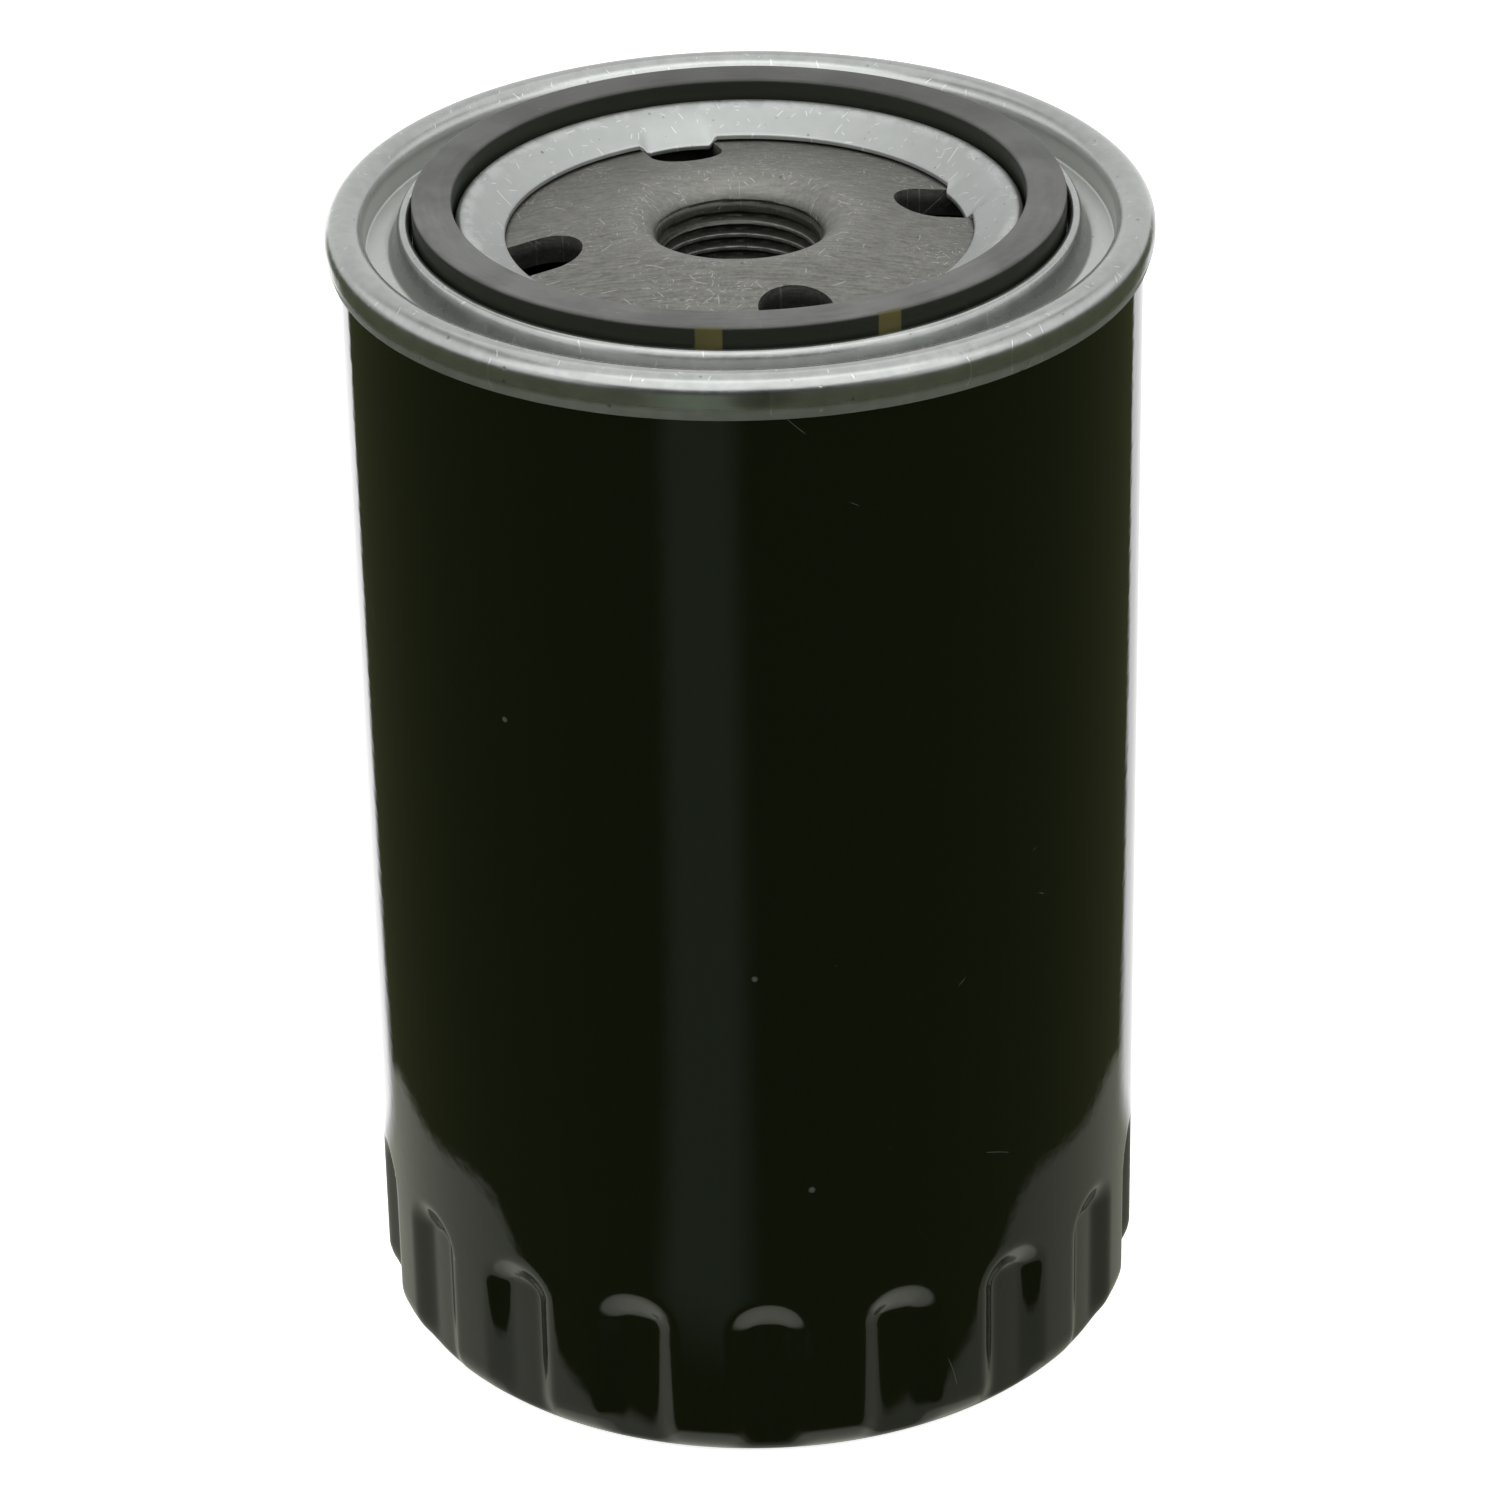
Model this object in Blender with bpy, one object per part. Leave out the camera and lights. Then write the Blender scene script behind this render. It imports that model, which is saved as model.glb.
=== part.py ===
"""A spin-on oil filter. Metres, +Z up; the origin is the middle of the closed end's resting face."""

import bpy
import bmesh
from math import atan2, cos, degrees, pi, radians, sin, sqrt
from mathutils import Matrix, Vector

for old in list(bpy.data.objects):
    bpy.data.objects.remove(old)

MM = 0.001
GAP = 0.3  # clearance between touching pieces, millimetres
STEP_DEG = 5.0  # one facet of the can
SEAL_STEP_DEG = 7.5  # one facet of the lid, the plate and the seals at the open end
INNER_STEP_DEG = 10.0  # one facet of the element's round pieces
FINE_STEP_DEG = 15.0  # one facet of the bypass valve's small pieces

# Driving dimensions, in millimetres.
CAN_R = 45.35
CAN_WALL = 0.7
CAN_TOP_Z = 138.6
CAN_FLANGE = 0.35
BASE_CORNER_R = 5.2
BASE_PANEL_R = 26.0
BASE_PANEL_RISE = 1.0
FLUTES = 18
FLUTE_FIRST_DEG = 11.0
FLUTE_FLOOR_HALF_DEG = 4.3
FLUTE_LAND_HALF_DEG = 6.2
FLUTE_DEPTH = 1.5
FLUTE_TOP_Z = 22.6
FLUTE_SLOPE = 2.6

SEAM_R = 44.4
SEAM_ROLL_R = 2.24
SEAM_MID_Z = 138.05
SEAM_EDGE_Z = 135.2
LID_WALL = 0.6
LID_HOLE_R = 26.35
LID_HOLE_Z = 137.35
LID_SHOULDER_Z = 139.85
VALLEY_Z = 135.9
STAKE_ANGLES_DEG = (15.0, 105.0)
STAKE_DROP = 1.0

GASKET_IN_R = 32.2
GASKET_OUT_R = 36.7
GASKET_TOP_Z = 141.84
CHANNEL_Z = 136.9
GASKET_CHAMFER = 0.35
RIDGE_RISE = 2.7  # above the gasket channel's floor
RIDGE_FLANK = 0.4
RIDGE_OUT = 1.2
VALLEY_IN = 2.5

THREAD_MINOR_R = 8.73
THREAD_MAJOR_R = 9.525
THREAD_PITCH = 1.5875
THREAD_TURNS = 4
HUB_R = 12.2
HUB_END_Z = 127.5
HUB_TOP_Z = 134.0
MOUTH_BEND_R = 4.3
BORE_MOUTH_R = 9.0
MOUTH_TOP_Z = 138.9
PLATE_SLOPE = 0.18
PLATE_DOME_R = 18.34
PLATE_DOME_Z = 138.0
PLATE_BEND_R = 29.5
PLATE_THICK = 3.0
PLATE_RIM_R = 36.8
PLATE_RIM_Z = 135.95
INLETS = 4
INLET_FIRST_DEG = 15.5
INLET_IN_R = 22.5
INLET_OUT_R = 26.0
INLET_HALF_WIDTH = 4.18

ELEMENT_R = 40.0
ELEMENT_LOW_Z = 15.0
ELEMENT_TOP_Z = 123.6
CAP_WALL = 0.6
CAP_RIM = 4.5
PLEATS = 44
PLEAT_OUT_R = 38.7
PLEAT_IN_R = 18.4
PAPER = 0.7
TUBE_R = 16.8
TUBE_WALL = 0.6
TUBE_COLUMNS = 10
TUBE_ROWS = 6
ADHESIVE = 1.8
TOP_CAP_HOLE_R = 13.2
NECK_R = 11.4
NECK_RISE = 4.0
CLIP_IN_R = 31.0
CLIP_OUT_R = 36.5

MEMBRANE_TOP_Z = 133.5
MEMBRANE_WEB_R = 20.0
MEMBRANE_BEND_R = 27.0
MEMBRANE_LIP_R = 32.0
MEMBRANE_FOOT_R = 17.0

SEAT_IN_R = 7.0
SEAT_OUT_R = 11.0
BYPASS_SPRING_R = 5.2
BYPASS_WIRE_R = 0.55
BYPASS_COILS = 5
WASHER = 1.6
POPPET_R = 8.3
POPPET_THICK = 1.0
STEM_R = 1.6
STEM_LENGTH = 17.0
BYPASS_SPRING_LENGTH = 10.6
CAGE_R = 9.0
CAGE_HEIGHT = 11.8
CAGE_WALL = 0.8
CAGE_LEGS = 3

LEAF_IN_R = 13.0
LEAF_OUT_R = 20.0
LEAF_THICK = 0.8
LEAF_LEGS = 4
LEAF_LEG_HALF = 5.0
LEAF_FOOT_R = 38.5


def material(name, colour, roughness, metallic):
    made = bpy.data.materials.new(name)
    made.use_nodes = True
    shader = made.node_tree.nodes["Principled BSDF"]
    shader.inputs["Base Color"].default_value = (*colour, 1.0)
    shader.inputs["Roughness"].default_value = roughness
    shader.inputs["Metallic"].default_value = metallic
    return made


BLACK_PAINT = material("black_paint", (0.008, 0.008, 0.007), 0.16, 0.0)
ZINC = material("galvanised_sheet", (0.50, 0.52, 0.52), 0.38, 0.9)
PLATE_STEEL = material("plain_steel", (0.26, 0.26, 0.24), 0.42, 0.9)
SPRING_STEEL = material("spring_steel", (0.32, 0.32, 0.33), 0.3, 1.0)
TIN_STEEL = material("tinned_steel", (0.55, 0.55, 0.53), 0.3, 1.0)
RUBBER = material("black_rubber", (0.02, 0.02, 0.021), 0.6, 0.0)
COMPOUND = material("seam_compound", (0.25, 0.24, 0.2), 0.7, 0.0)
ADHESIVE_GREEN = material("plastisol", (0.25, 0.30, 0.22), 0.55, 0.0)
PAPER_FIBRE = material("filter_paper", (0.72, 0.52, 0.25), 0.85, 0.0)


def finish(name, mesh, finish_material, flat_above=35):
    """The mesh as a smooth-shaded object with its material."""
    mesh.materials.append(finish_material)
    made = bpy.data.objects.new(name, mesh)
    bpy.context.scene.collection.objects.link(made)
    mesh.shade_smooth()
    mesh.set_sharp_from_angle(angle=radians(flat_above))
    return made


def turned(name, profile, finish_material, step_deg=STEP_DEG, reshape=None):
    """A closed profile of (radius, height) points, spun about Z; a point at radius 0 becomes a pole."""
    bm = bmesh.new()
    points = [bm.verts.new((r * MM, 0.0, z * MM)) for r, z in profile]
    edges = [bm.edges.new((a, b)) for a, b in zip(points, points[1:])]
    if min(r for r, _ in profile) > 0:
        edges.append(bm.edges.new((points[-1], points[0])))
    bmesh.ops.spin(bm, geom=points + edges, axis=(0, 0, 1), cent=(0, 0, 0), angle=2 * pi,
                   steps=round(360 / step_deg), use_merge=False)
    bmesh.ops.remove_doubles(bm, verts=bm.verts, dist=1e-6)
    if reshape:
        for vert in bm.verts:
            vert.co = reshape(vert.co / MM) * MM
    bmesh.ops.recalc_face_normals(bm, faces=bm.faces)
    mesh = bpy.data.meshes.new(name)
    bm.to_mesh(mesh)
    bm.free()
    return finish(name, mesh, finish_material)


def arc(centre_r, centre_z, radius, start_deg, end_deg, steps):
    """Points of a circular arc in the radius-height plane."""
    angles = [radians(start_deg + (end_deg - start_deg) * i / steps) for i in range(steps + 1)]
    return [(centre_r + radius * cos(a), centre_z + radius * sin(a)) for a in angles]


def prism(bm, outline, low_z, high_z):
    """A flat outline of (x, y) millimetre points extruded from low_z to high_z."""
    base = bm.faces.new([bm.verts.new((x * MM, y * MM, low_z * MM)) for x, y in outline])
    rise = bmesh.ops.extrude_face_region(bm, geom=[base])["geom"]
    moved = [item for item in rise if isinstance(item, bmesh.types.BMVert)]
    bmesh.ops.translate(bm, vec=(0, 0, (high_z - low_z) * MM), verts=moved)
    bmesh.ops.recalc_face_normals(bm, faces=bm.faces)


def prism_object(name, outline, low_z, high_z, finish_material, angle_deg=0.0):
    """A prism that is its own object, turned about Z."""
    bm = bmesh.new()
    prism(bm, outline, low_z, high_z)
    mesh = bpy.data.meshes.new(name)
    bm.to_mesh(mesh)
    bm.free()
    made = finish(name, mesh, finish_material)
    made.rotation_euler.z = radians(angle_deg)
    return made


def combine(target, tool, operation):
    """Cuts or joins a hidden helper solid with an exact Boolean."""
    tool.hide_render = True
    tool.display_type = "WIRE"
    step = target.modifiers.new(tool.name, "BOOLEAN")
    step.operation = operation
    step.object = tool


def flute_amount(angle_deg):
    """(the angle moved to the pocket's edge, how much of the depth it has), for one facet line of the can."""
    pitch = 360 / FLUTES
    off = (angle_deg - FLUTE_FIRST_DEG + pitch / 2) % pitch - pitch / 2
    centre = angle_deg - off
    inside = abs(off) < pitch / 4
    side = 1 if off > 0 else -1
    return centre + side * (FLUTE_FLOOR_HALF_DEG if inside else FLUTE_LAND_HALF_DEG), inside


def press_flutes(point):
    """Presses the wrench pockets into the lower wall, outside and inside alike."""
    radius = sqrt(point.x**2 + point.y**2)
    if radius < CAN_R - BASE_CORNER_R:
        return point
    angle, in_pocket = flute_amount(degrees(atan2(point.y, point.x)))
    if in_pocket and point.z < FLUTE_TOP_Z - 1:
        under_arc = max(0.0, BASE_CORNER_R - point.z)
        outer_r = CAN_R - BASE_CORNER_R + sqrt(BASE_CORNER_R**2 - under_arc**2)
        is_outside = radius > outer_r - CAN_WALL / 2
        radius = min(radius, CAN_R - FLUTE_DEPTH - (0 if is_outside else CAN_WALL))
    return Vector((radius * cos(radians(angle)), radius * sin(radians(angle)), point.z))


def make_can():
    """Deep-drawn housing: one shell with the flutes pressed in and a small flange at the mouth."""
    inner_r = CAN_R - CAN_WALL
    outside = [(0, BASE_PANEL_RISE), (BASE_PANEL_R, BASE_PANEL_RISE), (BASE_PANEL_R + 1, 0)]
    outside += arc(CAN_R - BASE_CORNER_R, BASE_CORNER_R, BASE_CORNER_R, -90, 0, 4)
    outside += [(CAN_R, FLUTE_TOP_Z - FLUTE_SLOPE), (CAN_R, FLUTE_TOP_Z), (CAN_R, CAN_TOP_Z - 1.2)]
    outside += [(CAN_R + CAN_FLANGE, CAN_TOP_Z - 0.6), (CAN_R + CAN_FLANGE, CAN_TOP_Z)]
    inside = [(inner_r, CAN_TOP_Z), (inner_r, FLUTE_TOP_Z + 0.6), (inner_r, FLUTE_TOP_Z - FLUTE_SLOPE)]
    inside += arc(CAN_R - BASE_CORNER_R, BASE_CORNER_R, BASE_CORNER_R - CAN_WALL, 0, -90, 3)
    inside += [(BASE_PANEL_R + 0.6, CAN_WALL), (BASE_PANEL_R - 0.4, BASE_PANEL_RISE + CAN_WALL)]
    inside += [(0, BASE_PANEL_RISE + CAN_WALL)]
    start = FLUTE_FIRST_DEG % STEP_DEG - STEP_DEG / 2

    def reshape(point):
        turned_point = Matrix.Rotation(radians(start), 3, "Z") @ point
        return press_flutes(turned_point)

    turned("can", outside + inside, BLACK_PAINT, reshape=reshape)


def press_stakes(point):
    """Pushes the lid's inner edge down into the inlet slots that lock the plate."""
    radius = sqrt(point.x**2 + point.y**2)
    angle = degrees(atan2(point.y, point.x))
    near = min(abs(angle - stake) for stake in STAKE_ANGLES_DEG)
    if radius < LID_HOLE_R + 0.1 and near < SEAL_STEP_DEG / 2:
        point.z -= STAKE_DROP
    return point


def make_lid():
    """Sheet lid: inner collar, gasket channel, ridge, valley, and the roll over the can's flange."""
    wall = LID_WALL
    channel_in = GASKET_IN_R - GAP
    channel_out = GASKET_OUT_R + GAP
    chuck_r = SEAM_R - SEAM_ROLL_R
    edge_r = SEAM_R + SEAM_ROLL_R
    top = [(LID_HOLE_R, LID_HOLE_Z), (channel_in - 1.5, LID_SHOULDER_Z - 0.15)]
    top += [(channel_in - 0.8, LID_SHOULDER_Z), (channel_in, LID_SHOULDER_Z - 0.9)]
    top += [(channel_in, CHANNEL_Z), (channel_out, CHANNEL_Z)]
    ridge_z = CHANNEL_Z + RIDGE_RISE
    top += [(channel_out + RIDGE_FLANK, ridge_z), (channel_out + RIDGE_OUT, ridge_z)]
    top += [(channel_out + RIDGE_OUT + 0.5, CHANNEL_Z + wall), (channel_out + VALLEY_IN, VALLEY_Z)]
    top += [(chuck_r - 0.3, VALLEY_Z)]
    top += arc(SEAM_R, SEAM_MID_Z, SEAM_ROLL_R, 180, 0, 6)
    top += [(edge_r, SEAM_EDGE_Z + 0.8), (edge_r - 0.4, SEAM_EDGE_Z), (edge_r - 0.9, SEAM_EDGE_Z + 0.2)]
    under = [(edge_r - wall, SEAM_EDGE_Z + 1.0)]
    under += arc(SEAM_R, SEAM_MID_Z, SEAM_ROLL_R - wall, 0, 180, 4)
    under += [(chuck_r - 0.3 + wall, VALLEY_Z - wall), (channel_out + 2.2, VALLEY_Z - wall)]
    under += [(channel_out + 1.2, CHANNEL_Z - wall), (channel_in - wall, CHANNEL_Z - wall)]
    under += [(channel_in - wall, LID_SHOULDER_Z - 0.8), (channel_in - 1.4, LID_SHOULDER_Z - 0.85)]
    under += [(LID_HOLE_R, LID_HOLE_Z - wall)]
    turned("seam_lid", top + under, ZINC, step_deg=SEAL_STEP_DEG, reshape=press_stakes)


def plate_top(radius):
    """Height of the domed plate's upper face."""
    return max(PLATE_RIM_Z, PLATE_DOME_Z + PLATE_SLOPE * (PLATE_DOME_R - radius))


def make_plate():
    """Threaded plate: dome, slotted for the inlet, with a drawn hub that carries the thread."""
    mouth_r = BORE_MOUTH_R + MOUTH_BEND_R
    rim_low = PLATE_RIM_Z - PLATE_THICK
    top = [(PLATE_RIM_R, rim_low), (PLATE_RIM_R, PLATE_RIM_Z), (PLATE_BEND_R, PLATE_RIM_Z)]
    top += [(PLATE_DOME_R, plate_top(PLATE_DOME_R))]
    top += arc(mouth_r, MOUTH_TOP_Z - MOUTH_BEND_R, MOUTH_BEND_R, 90, 180, 4)
    bore = []
    crest_z = MOUTH_TOP_Z - MOUTH_BEND_R - 0.7
    for turn in range(THREAD_TURNS):
        z = crest_z - turn * THREAD_PITCH
        bore += [(THREAD_MINOR_R, z), (THREAD_MINOR_R, z - 0.25), (THREAD_MAJOR_R, z - THREAD_PITCH * 0.58)]
    bore += [(THREAD_MINOR_R, HUB_END_Z + 0.6), (THREAD_MAJOR_R, HUB_END_Z)]
    hub = [(HUB_R, HUB_END_Z), (HUB_R, HUB_TOP_Z), (HUB_R + 2.4, HUB_TOP_Z + 1.3), (PLATE_BEND_R, rim_low)]
    plate = turned("threaded_plate", top + bore + hub, PLATE_STEEL, step_deg=SEAL_STEP_DEG)
    half = INLET_HALF_WIDTH
    outline = arc(INLET_OUT_R, 0, half, -90, 90, 4) + arc(INLET_IN_R, 0, half, 90, 270, 6)
    for i in range(INLETS):
        angle = INLET_FIRST_DEG + i * 360 / INLETS
        slot = prism_object(f"inlet_cutter_{i + 1}", outline, 128.0, 142.0, PLATE_STEEL, angle)
        combine(plate, slot, "DIFFERENCE")


def make_seals():
    """Sealing ring, seam compound and the anti-drainback membrane."""
    chamfer = GASKET_CHAMFER
    low = CHANNEL_Z + GAP
    ring = [(GASKET_IN_R, GASKET_TOP_Z - chamfer), (GASKET_IN_R + chamfer, GASKET_TOP_Z)]
    ring += [(GASKET_OUT_R - chamfer, GASKET_TOP_Z), (GASKET_OUT_R, GASKET_TOP_Z - chamfer)]
    ring += [(GASKET_OUT_R, low), (GASKET_IN_R, low)]
    turned("sealing_ring", ring, RUBBER, step_deg=SEAL_STEP_DEG)
    inner = SEAM_R - SEAM_ROLL_R + LID_WALL + GAP
    outer = CAN_R - CAN_WALL - GAP
    bead_top = CAN_TOP_Z - 0.2
    bead = [(inner, bead_top - 1.6), (inner, bead_top), (outer, bead_top), (outer, bead_top - 1.6)]
    turned("seam_compound", bead, COMPOUND, step_deg=SEAL_STEP_DEG)
    collar_r = HUB_R + GAP
    foot_z = ELEMENT_TOP_Z + GAP
    lip_z = PLATE_RIM_Z - PLATE_THICK - GAP
    web_z = lip_z - 2.05
    membrane = [(collar_r, foot_z), (collar_r, MEMBRANE_TOP_Z), (collar_r + 1.3, MEMBRANE_TOP_Z)]
    membrane += [(collar_r + 1.5, web_z + 0.7), (MEMBRANE_WEB_R, web_z), (MEMBRANE_BEND_R, web_z + 1.0)]
    membrane += [(MEMBRANE_LIP_R - 0.2, lip_z), (MEMBRANE_LIP_R, lip_z - 0.8), (MEMBRANE_BEND_R, web_z - 0.4)]
    membrane += [(MEMBRANE_WEB_R, web_z - 1.4), (collar_r + 1.6, web_z - 1.2), (collar_r + 1.6, web_z - 3.4)]
    membrane += [(MEMBRANE_FOOT_R, foot_z + 1.2), (MEMBRANE_FOOT_R, foot_z)]
    turned("drainback_valve", membrane, RUBBER, step_deg=INNER_STEP_DEG)


def make_end_cap(name, inner_profile, face_z, rim_z):
    """Pressed cup: a flat disc from its inner profile out to a rim around the paper."""
    away = 1 if face_z > rim_z else -1
    disc = inner_profile
    disc += [(ELEMENT_R - 0.6, face_z), (ELEMENT_R, face_z - away * 0.6), (ELEMENT_R, rim_z)]
    disc += [(ELEMENT_R - CAP_WALL, rim_z), (ELEMENT_R - CAP_WALL, face_z - away * CAP_WALL)]
    turned(name, disc, TIN_STEEL, step_deg=INNER_STEP_DEG)


def make_element():
    """End caps, plastisol rings, folded paper with its clip, and the perforated tube."""
    top, low = ELEMENT_TOP_Z, ELEMENT_LOW_Z
    hole = [(TOP_CAP_HOLE_R, top - CAP_WALL), (TOP_CAP_HOLE_R, top)]
    make_end_cap("top_end_cap", hole, top, top - CAP_RIM)
    seat_z = low + NECK_RISE
    neck = [(NECK_R, low + CAP_WALL), (NECK_R, seat_z), (SEAT_IN_R - 0.6, seat_z)]
    neck += [(SEAT_IN_R - 0.6, seat_z - CAP_WALL), (NECK_R - CAP_WALL, seat_z - CAP_WALL)]
    neck += [(NECK_R - CAP_WALL, low)]
    make_end_cap("bottom_end_cap", neck, low, low + CAP_RIM)
    glue_in, glue_out = TUBE_R - TUBE_WALL, ELEMENT_R - CAP_WALL - GAP
    high_glue = top - CAP_WALL - GAP
    low_glue = low + CAP_WALL + GAP
    for name, z in (("top_adhesive", high_glue - ADHESIVE), ("bottom_adhesive", low_glue)):
        ring = [(glue_in, z), (glue_in, z + ADHESIVE), (glue_out, z + ADHESIVE), (glue_out, z)]
        turned(name, ring, ADHESIVE_GREEN, step_deg=INNER_STEP_DEG)
    paper_low = low_glue + ADHESIVE + GAP
    paper_high = high_glue - ADHESIVE - GAP
    make_paper(paper_low, paper_high)
    make_tube(paper_low, paper_high)


def make_paper(low_z, high_z):
    """Star-folded paper as one closed band, and the steel strip that clips its two ends."""
    bm = bmesh.new()
    rings = []
    for offset in (0.0, PAPER):
        for z in (low_z, high_z):
            ring = []
            for i in range(2 * PLEATS):
                radius = (PLEAT_IN_R, PLEAT_OUT_R - PAPER * 1.5)[i % 2] + offset * (1.0, 1.5)[i % 2]
                angle = pi * i / PLEATS
                point = (radius * cos(angle) * MM, radius * sin(angle) * MM, z * MM)
                ring.append(bm.verts.new(point))
            rings.append(ring)
    in_low, in_high, out_low, out_high = rings
    for a, b in ((in_low, in_high), (in_high, out_high), (out_high, out_low), (out_low, in_low)):
        for i in range(2 * PLEATS):
            j = (i + 1) % (2 * PLEATS)
            bm.faces.new((a[i], a[j], b[j], b[i]))
    bmesh.ops.recalc_face_normals(bm, faces=bm.faces)
    mesh = bpy.data.meshes.new("pleated_media")
    bm.to_mesh(mesh)
    bm.free()
    finish("pleated_media", mesh, PAPER_FIBRE, flat_above=10)
    clip_angle = 2 * 180 / PLEATS
    half = CAP_WALL / 2
    clip = [(CLIP_IN_R, -half), (CLIP_OUT_R, -half), (CLIP_OUT_R, half), (CLIP_IN_R, half)]
    prism_object("media_clip", clip, low_z + 2, high_z - 2, TIN_STEEL, clip_angle)


def make_tube(low_z, high_z):
    """Perforated tube: a grid rolled round, with a window punched in every other cell of both directions."""
    bm = bmesh.new()
    columns, rows = 2 * TUBE_COLUMNS, 2 * TUBE_ROWS + 1
    pitch = (high_z - low_z) / (TUBE_ROWS * 2 + 1)
    grid = []
    for row in range(rows + 1):
        z = (low_z + row * pitch) * MM
        angles = [2 * pi * column / columns for column in range(columns)]
        grid.append([bm.verts.new((TUBE_R * MM * cos(a), TUBE_R * MM * sin(a), z)) for a in angles])
    for row in range(rows):
        for column in range(columns):
            if row % 2 and column % 2:
                continue
            after = (column + 1) % columns
            bm.faces.new((grid[row][column], grid[row][after], grid[row + 1][after], grid[row + 1][column]))
    mesh = bpy.data.meshes.new("centre_tube")
    bm.to_mesh(mesh)
    bm.free()
    tube = finish("centre_tube", mesh, TIN_STEEL, flat_above=40)
    wall = tube.modifiers.new("wall", "SOLIDIFY")
    wall.thickness = TUBE_WALL * MM
    wall.offset = -1.0
    wall.use_rim = True


def make_bypass():
    """Bypass valve in the closed end of the element: washer, poppet, spring and cage."""
    washer_low = ELEMENT_LOW_Z + NECK_RISE + GAP
    washer_high = washer_low + WASHER
    washer = [(SEAT_IN_R, washer_low), (SEAT_IN_R, washer_high), (SEAT_OUT_R, washer_high)]
    turned("bypass_seat", washer + [(SEAT_OUT_R, washer_low)], RUBBER, step_deg=FINE_STEP_DEG)
    disc_low = washer_high + GAP
    disc_high = disc_low + POPPET_THICK
    stem_top = disc_high + STEM_LENGTH
    boss_r = STEM_R + 0.6
    poppet = [(0, disc_low), (POPPET_R, disc_low), (POPPET_R, disc_high), (boss_r, disc_high)]
    poppet += [(boss_r, disc_high + 1.5), (STEM_R, disc_high + 2.0), (STEM_R, stem_top), (0, stem_top + 0.8)]
    turned("bypass_poppet", poppet, SPRING_STEEL, step_deg=FINE_STEP_DEG)
    make_spring(disc_high + GAP, disc_high + GAP + BYPASS_SPRING_LENGTH)
    make_cage(washer_high + GAP, disc_high + CAGE_HEIGHT)


def make_spring(low_z, high_z):
    """Closed coil spring: a helix swept with a round wire and capped at both ends."""
    curve = bpy.data.curves.new("bypass_spring", "CURVE")
    curve.dimensions = "3D"
    curve.bevel_depth = BYPASS_WIRE_R * MM
    curve.bevel_resolution = 1
    curve.use_fill_caps = True
    steps = BYPASS_COILS * 12
    wire = curve.splines.new("POLY")
    wire.points.add(steps)
    start, rise = low_z + BYPASS_WIRE_R, high_z - low_z - 2 * BYPASS_WIRE_R
    for i in range(steps + 1):
        angle = 2 * pi * i / 12
        z = start + rise * i / steps
        point = (BYPASS_SPRING_R * MM * cos(angle), BYPASS_SPRING_R * MM * sin(angle), z * MM, 1.0)
        wire.points[i].co = point
    made = bpy.data.objects.new("bypass_spring", curve)
    curve.materials.append(SPRING_STEEL)
    bpy.context.scene.collection.objects.link(made)


def make_cage(low_z, high_z):
    """Stamped cage: a foot ring on the washer, three legs and a crown that guides the stem."""
    foot_in = CAGE_R + 0.2
    foot_top = low_z + CAGE_WALL
    foot = [(foot_in, low_z), (foot_in, foot_top), (SEAT_OUT_R, foot_top), (SEAT_OUT_R, low_z)]
    cage = turned("bypass_cage", foot, TIN_STEEL, step_deg=FINE_STEP_DEG)
    guide_r, crown_r = STEM_R + 0.5, CAGE_R + 1.2
    crown_top = high_z + CAGE_WALL
    crown = [(guide_r, high_z), (guide_r, crown_top), (crown_r, crown_top), (crown_r, high_z)]
    combine(cage, turned("cage_crown_helper", crown, TIN_STEEL, step_deg=FINE_STEP_DEG), "UNION")
    half = 2.0
    leg_in = CAGE_R + 0.3
    leg = [(leg_in, -half), (leg_in + CAGE_WALL, -half), (leg_in + CAGE_WALL, half), (leg_in, half)]
    for i in range(CAGE_LEGS):
        name, turn = f"cage_leg_helper_{i + 1}", i * 360 / CAGE_LEGS
        helper = prism_object(name, leg, low_z + 0.2, high_z + 0.6, TIN_STEEL, turn)
        combine(cage, helper, "UNION")


def make_support_spring():
    """Stamped leaf spring: a ring under the bottom cap with four legs bent down to the can."""
    top = ELEMENT_LOW_Z - GAP
    low = top - LEAF_THICK
    ring = [(LEAF_IN_R, low), (LEAF_IN_R, top), (LEAF_OUT_R, top), (LEAF_OUT_R, low)]
    spring = turned("support_spring", ring, SPRING_STEEL, step_deg=INNER_STEP_DEG)
    half = LEAF_LEG_HALF
    foot_z = CAN_WALL + GAP
    foot_top = foot_z + LEAF_THICK
    bend = [(19.0, top - 0.1), (24.0, top - 0.4), (34.0, foot_top + 0.4), (36.0, foot_top)]
    bend += [(LEAF_FOOT_R, foot_top), (LEAF_FOOT_R, foot_z), (35.6, foot_z), (33.4, foot_z + 0.4)]
    bend += [(23.6, low - 0.4), (19.0, low + 0.1)]
    for i in range(LEAF_LEGS):
        bm = bmesh.new()
        face = bm.faces.new([bm.verts.new((r * MM, -half * MM, z * MM)) for r, z in bend])
        side = bmesh.ops.extrude_face_region(bm, geom=[face])["geom"]
        moved = [item for item in side if isinstance(item, bmesh.types.BMVert)]
        bmesh.ops.translate(bm, vec=(0, 2 * half * MM, 0), verts=moved)
        bmesh.ops.recalc_face_normals(bm, faces=bm.faces)
        mesh = bpy.data.meshes.new(f"spring_leg_helper_{i + 1}")
        bm.to_mesh(mesh)
        bm.free()
        leg = finish(mesh.name, mesh, SPRING_STEEL)
        leg.rotation_euler.z = radians(45 + i * 360 / LEAF_LEGS)
        combine(spring, leg, "UNION")


make_can()
make_lid()
make_plate()
make_seals()
make_element()
make_bypass()
make_support_spring()
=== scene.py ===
from math import atan2, cos, hypot, pi, radians, sin

import bmesh
import bpy
from mathutils import Matrix, Vector


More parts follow.
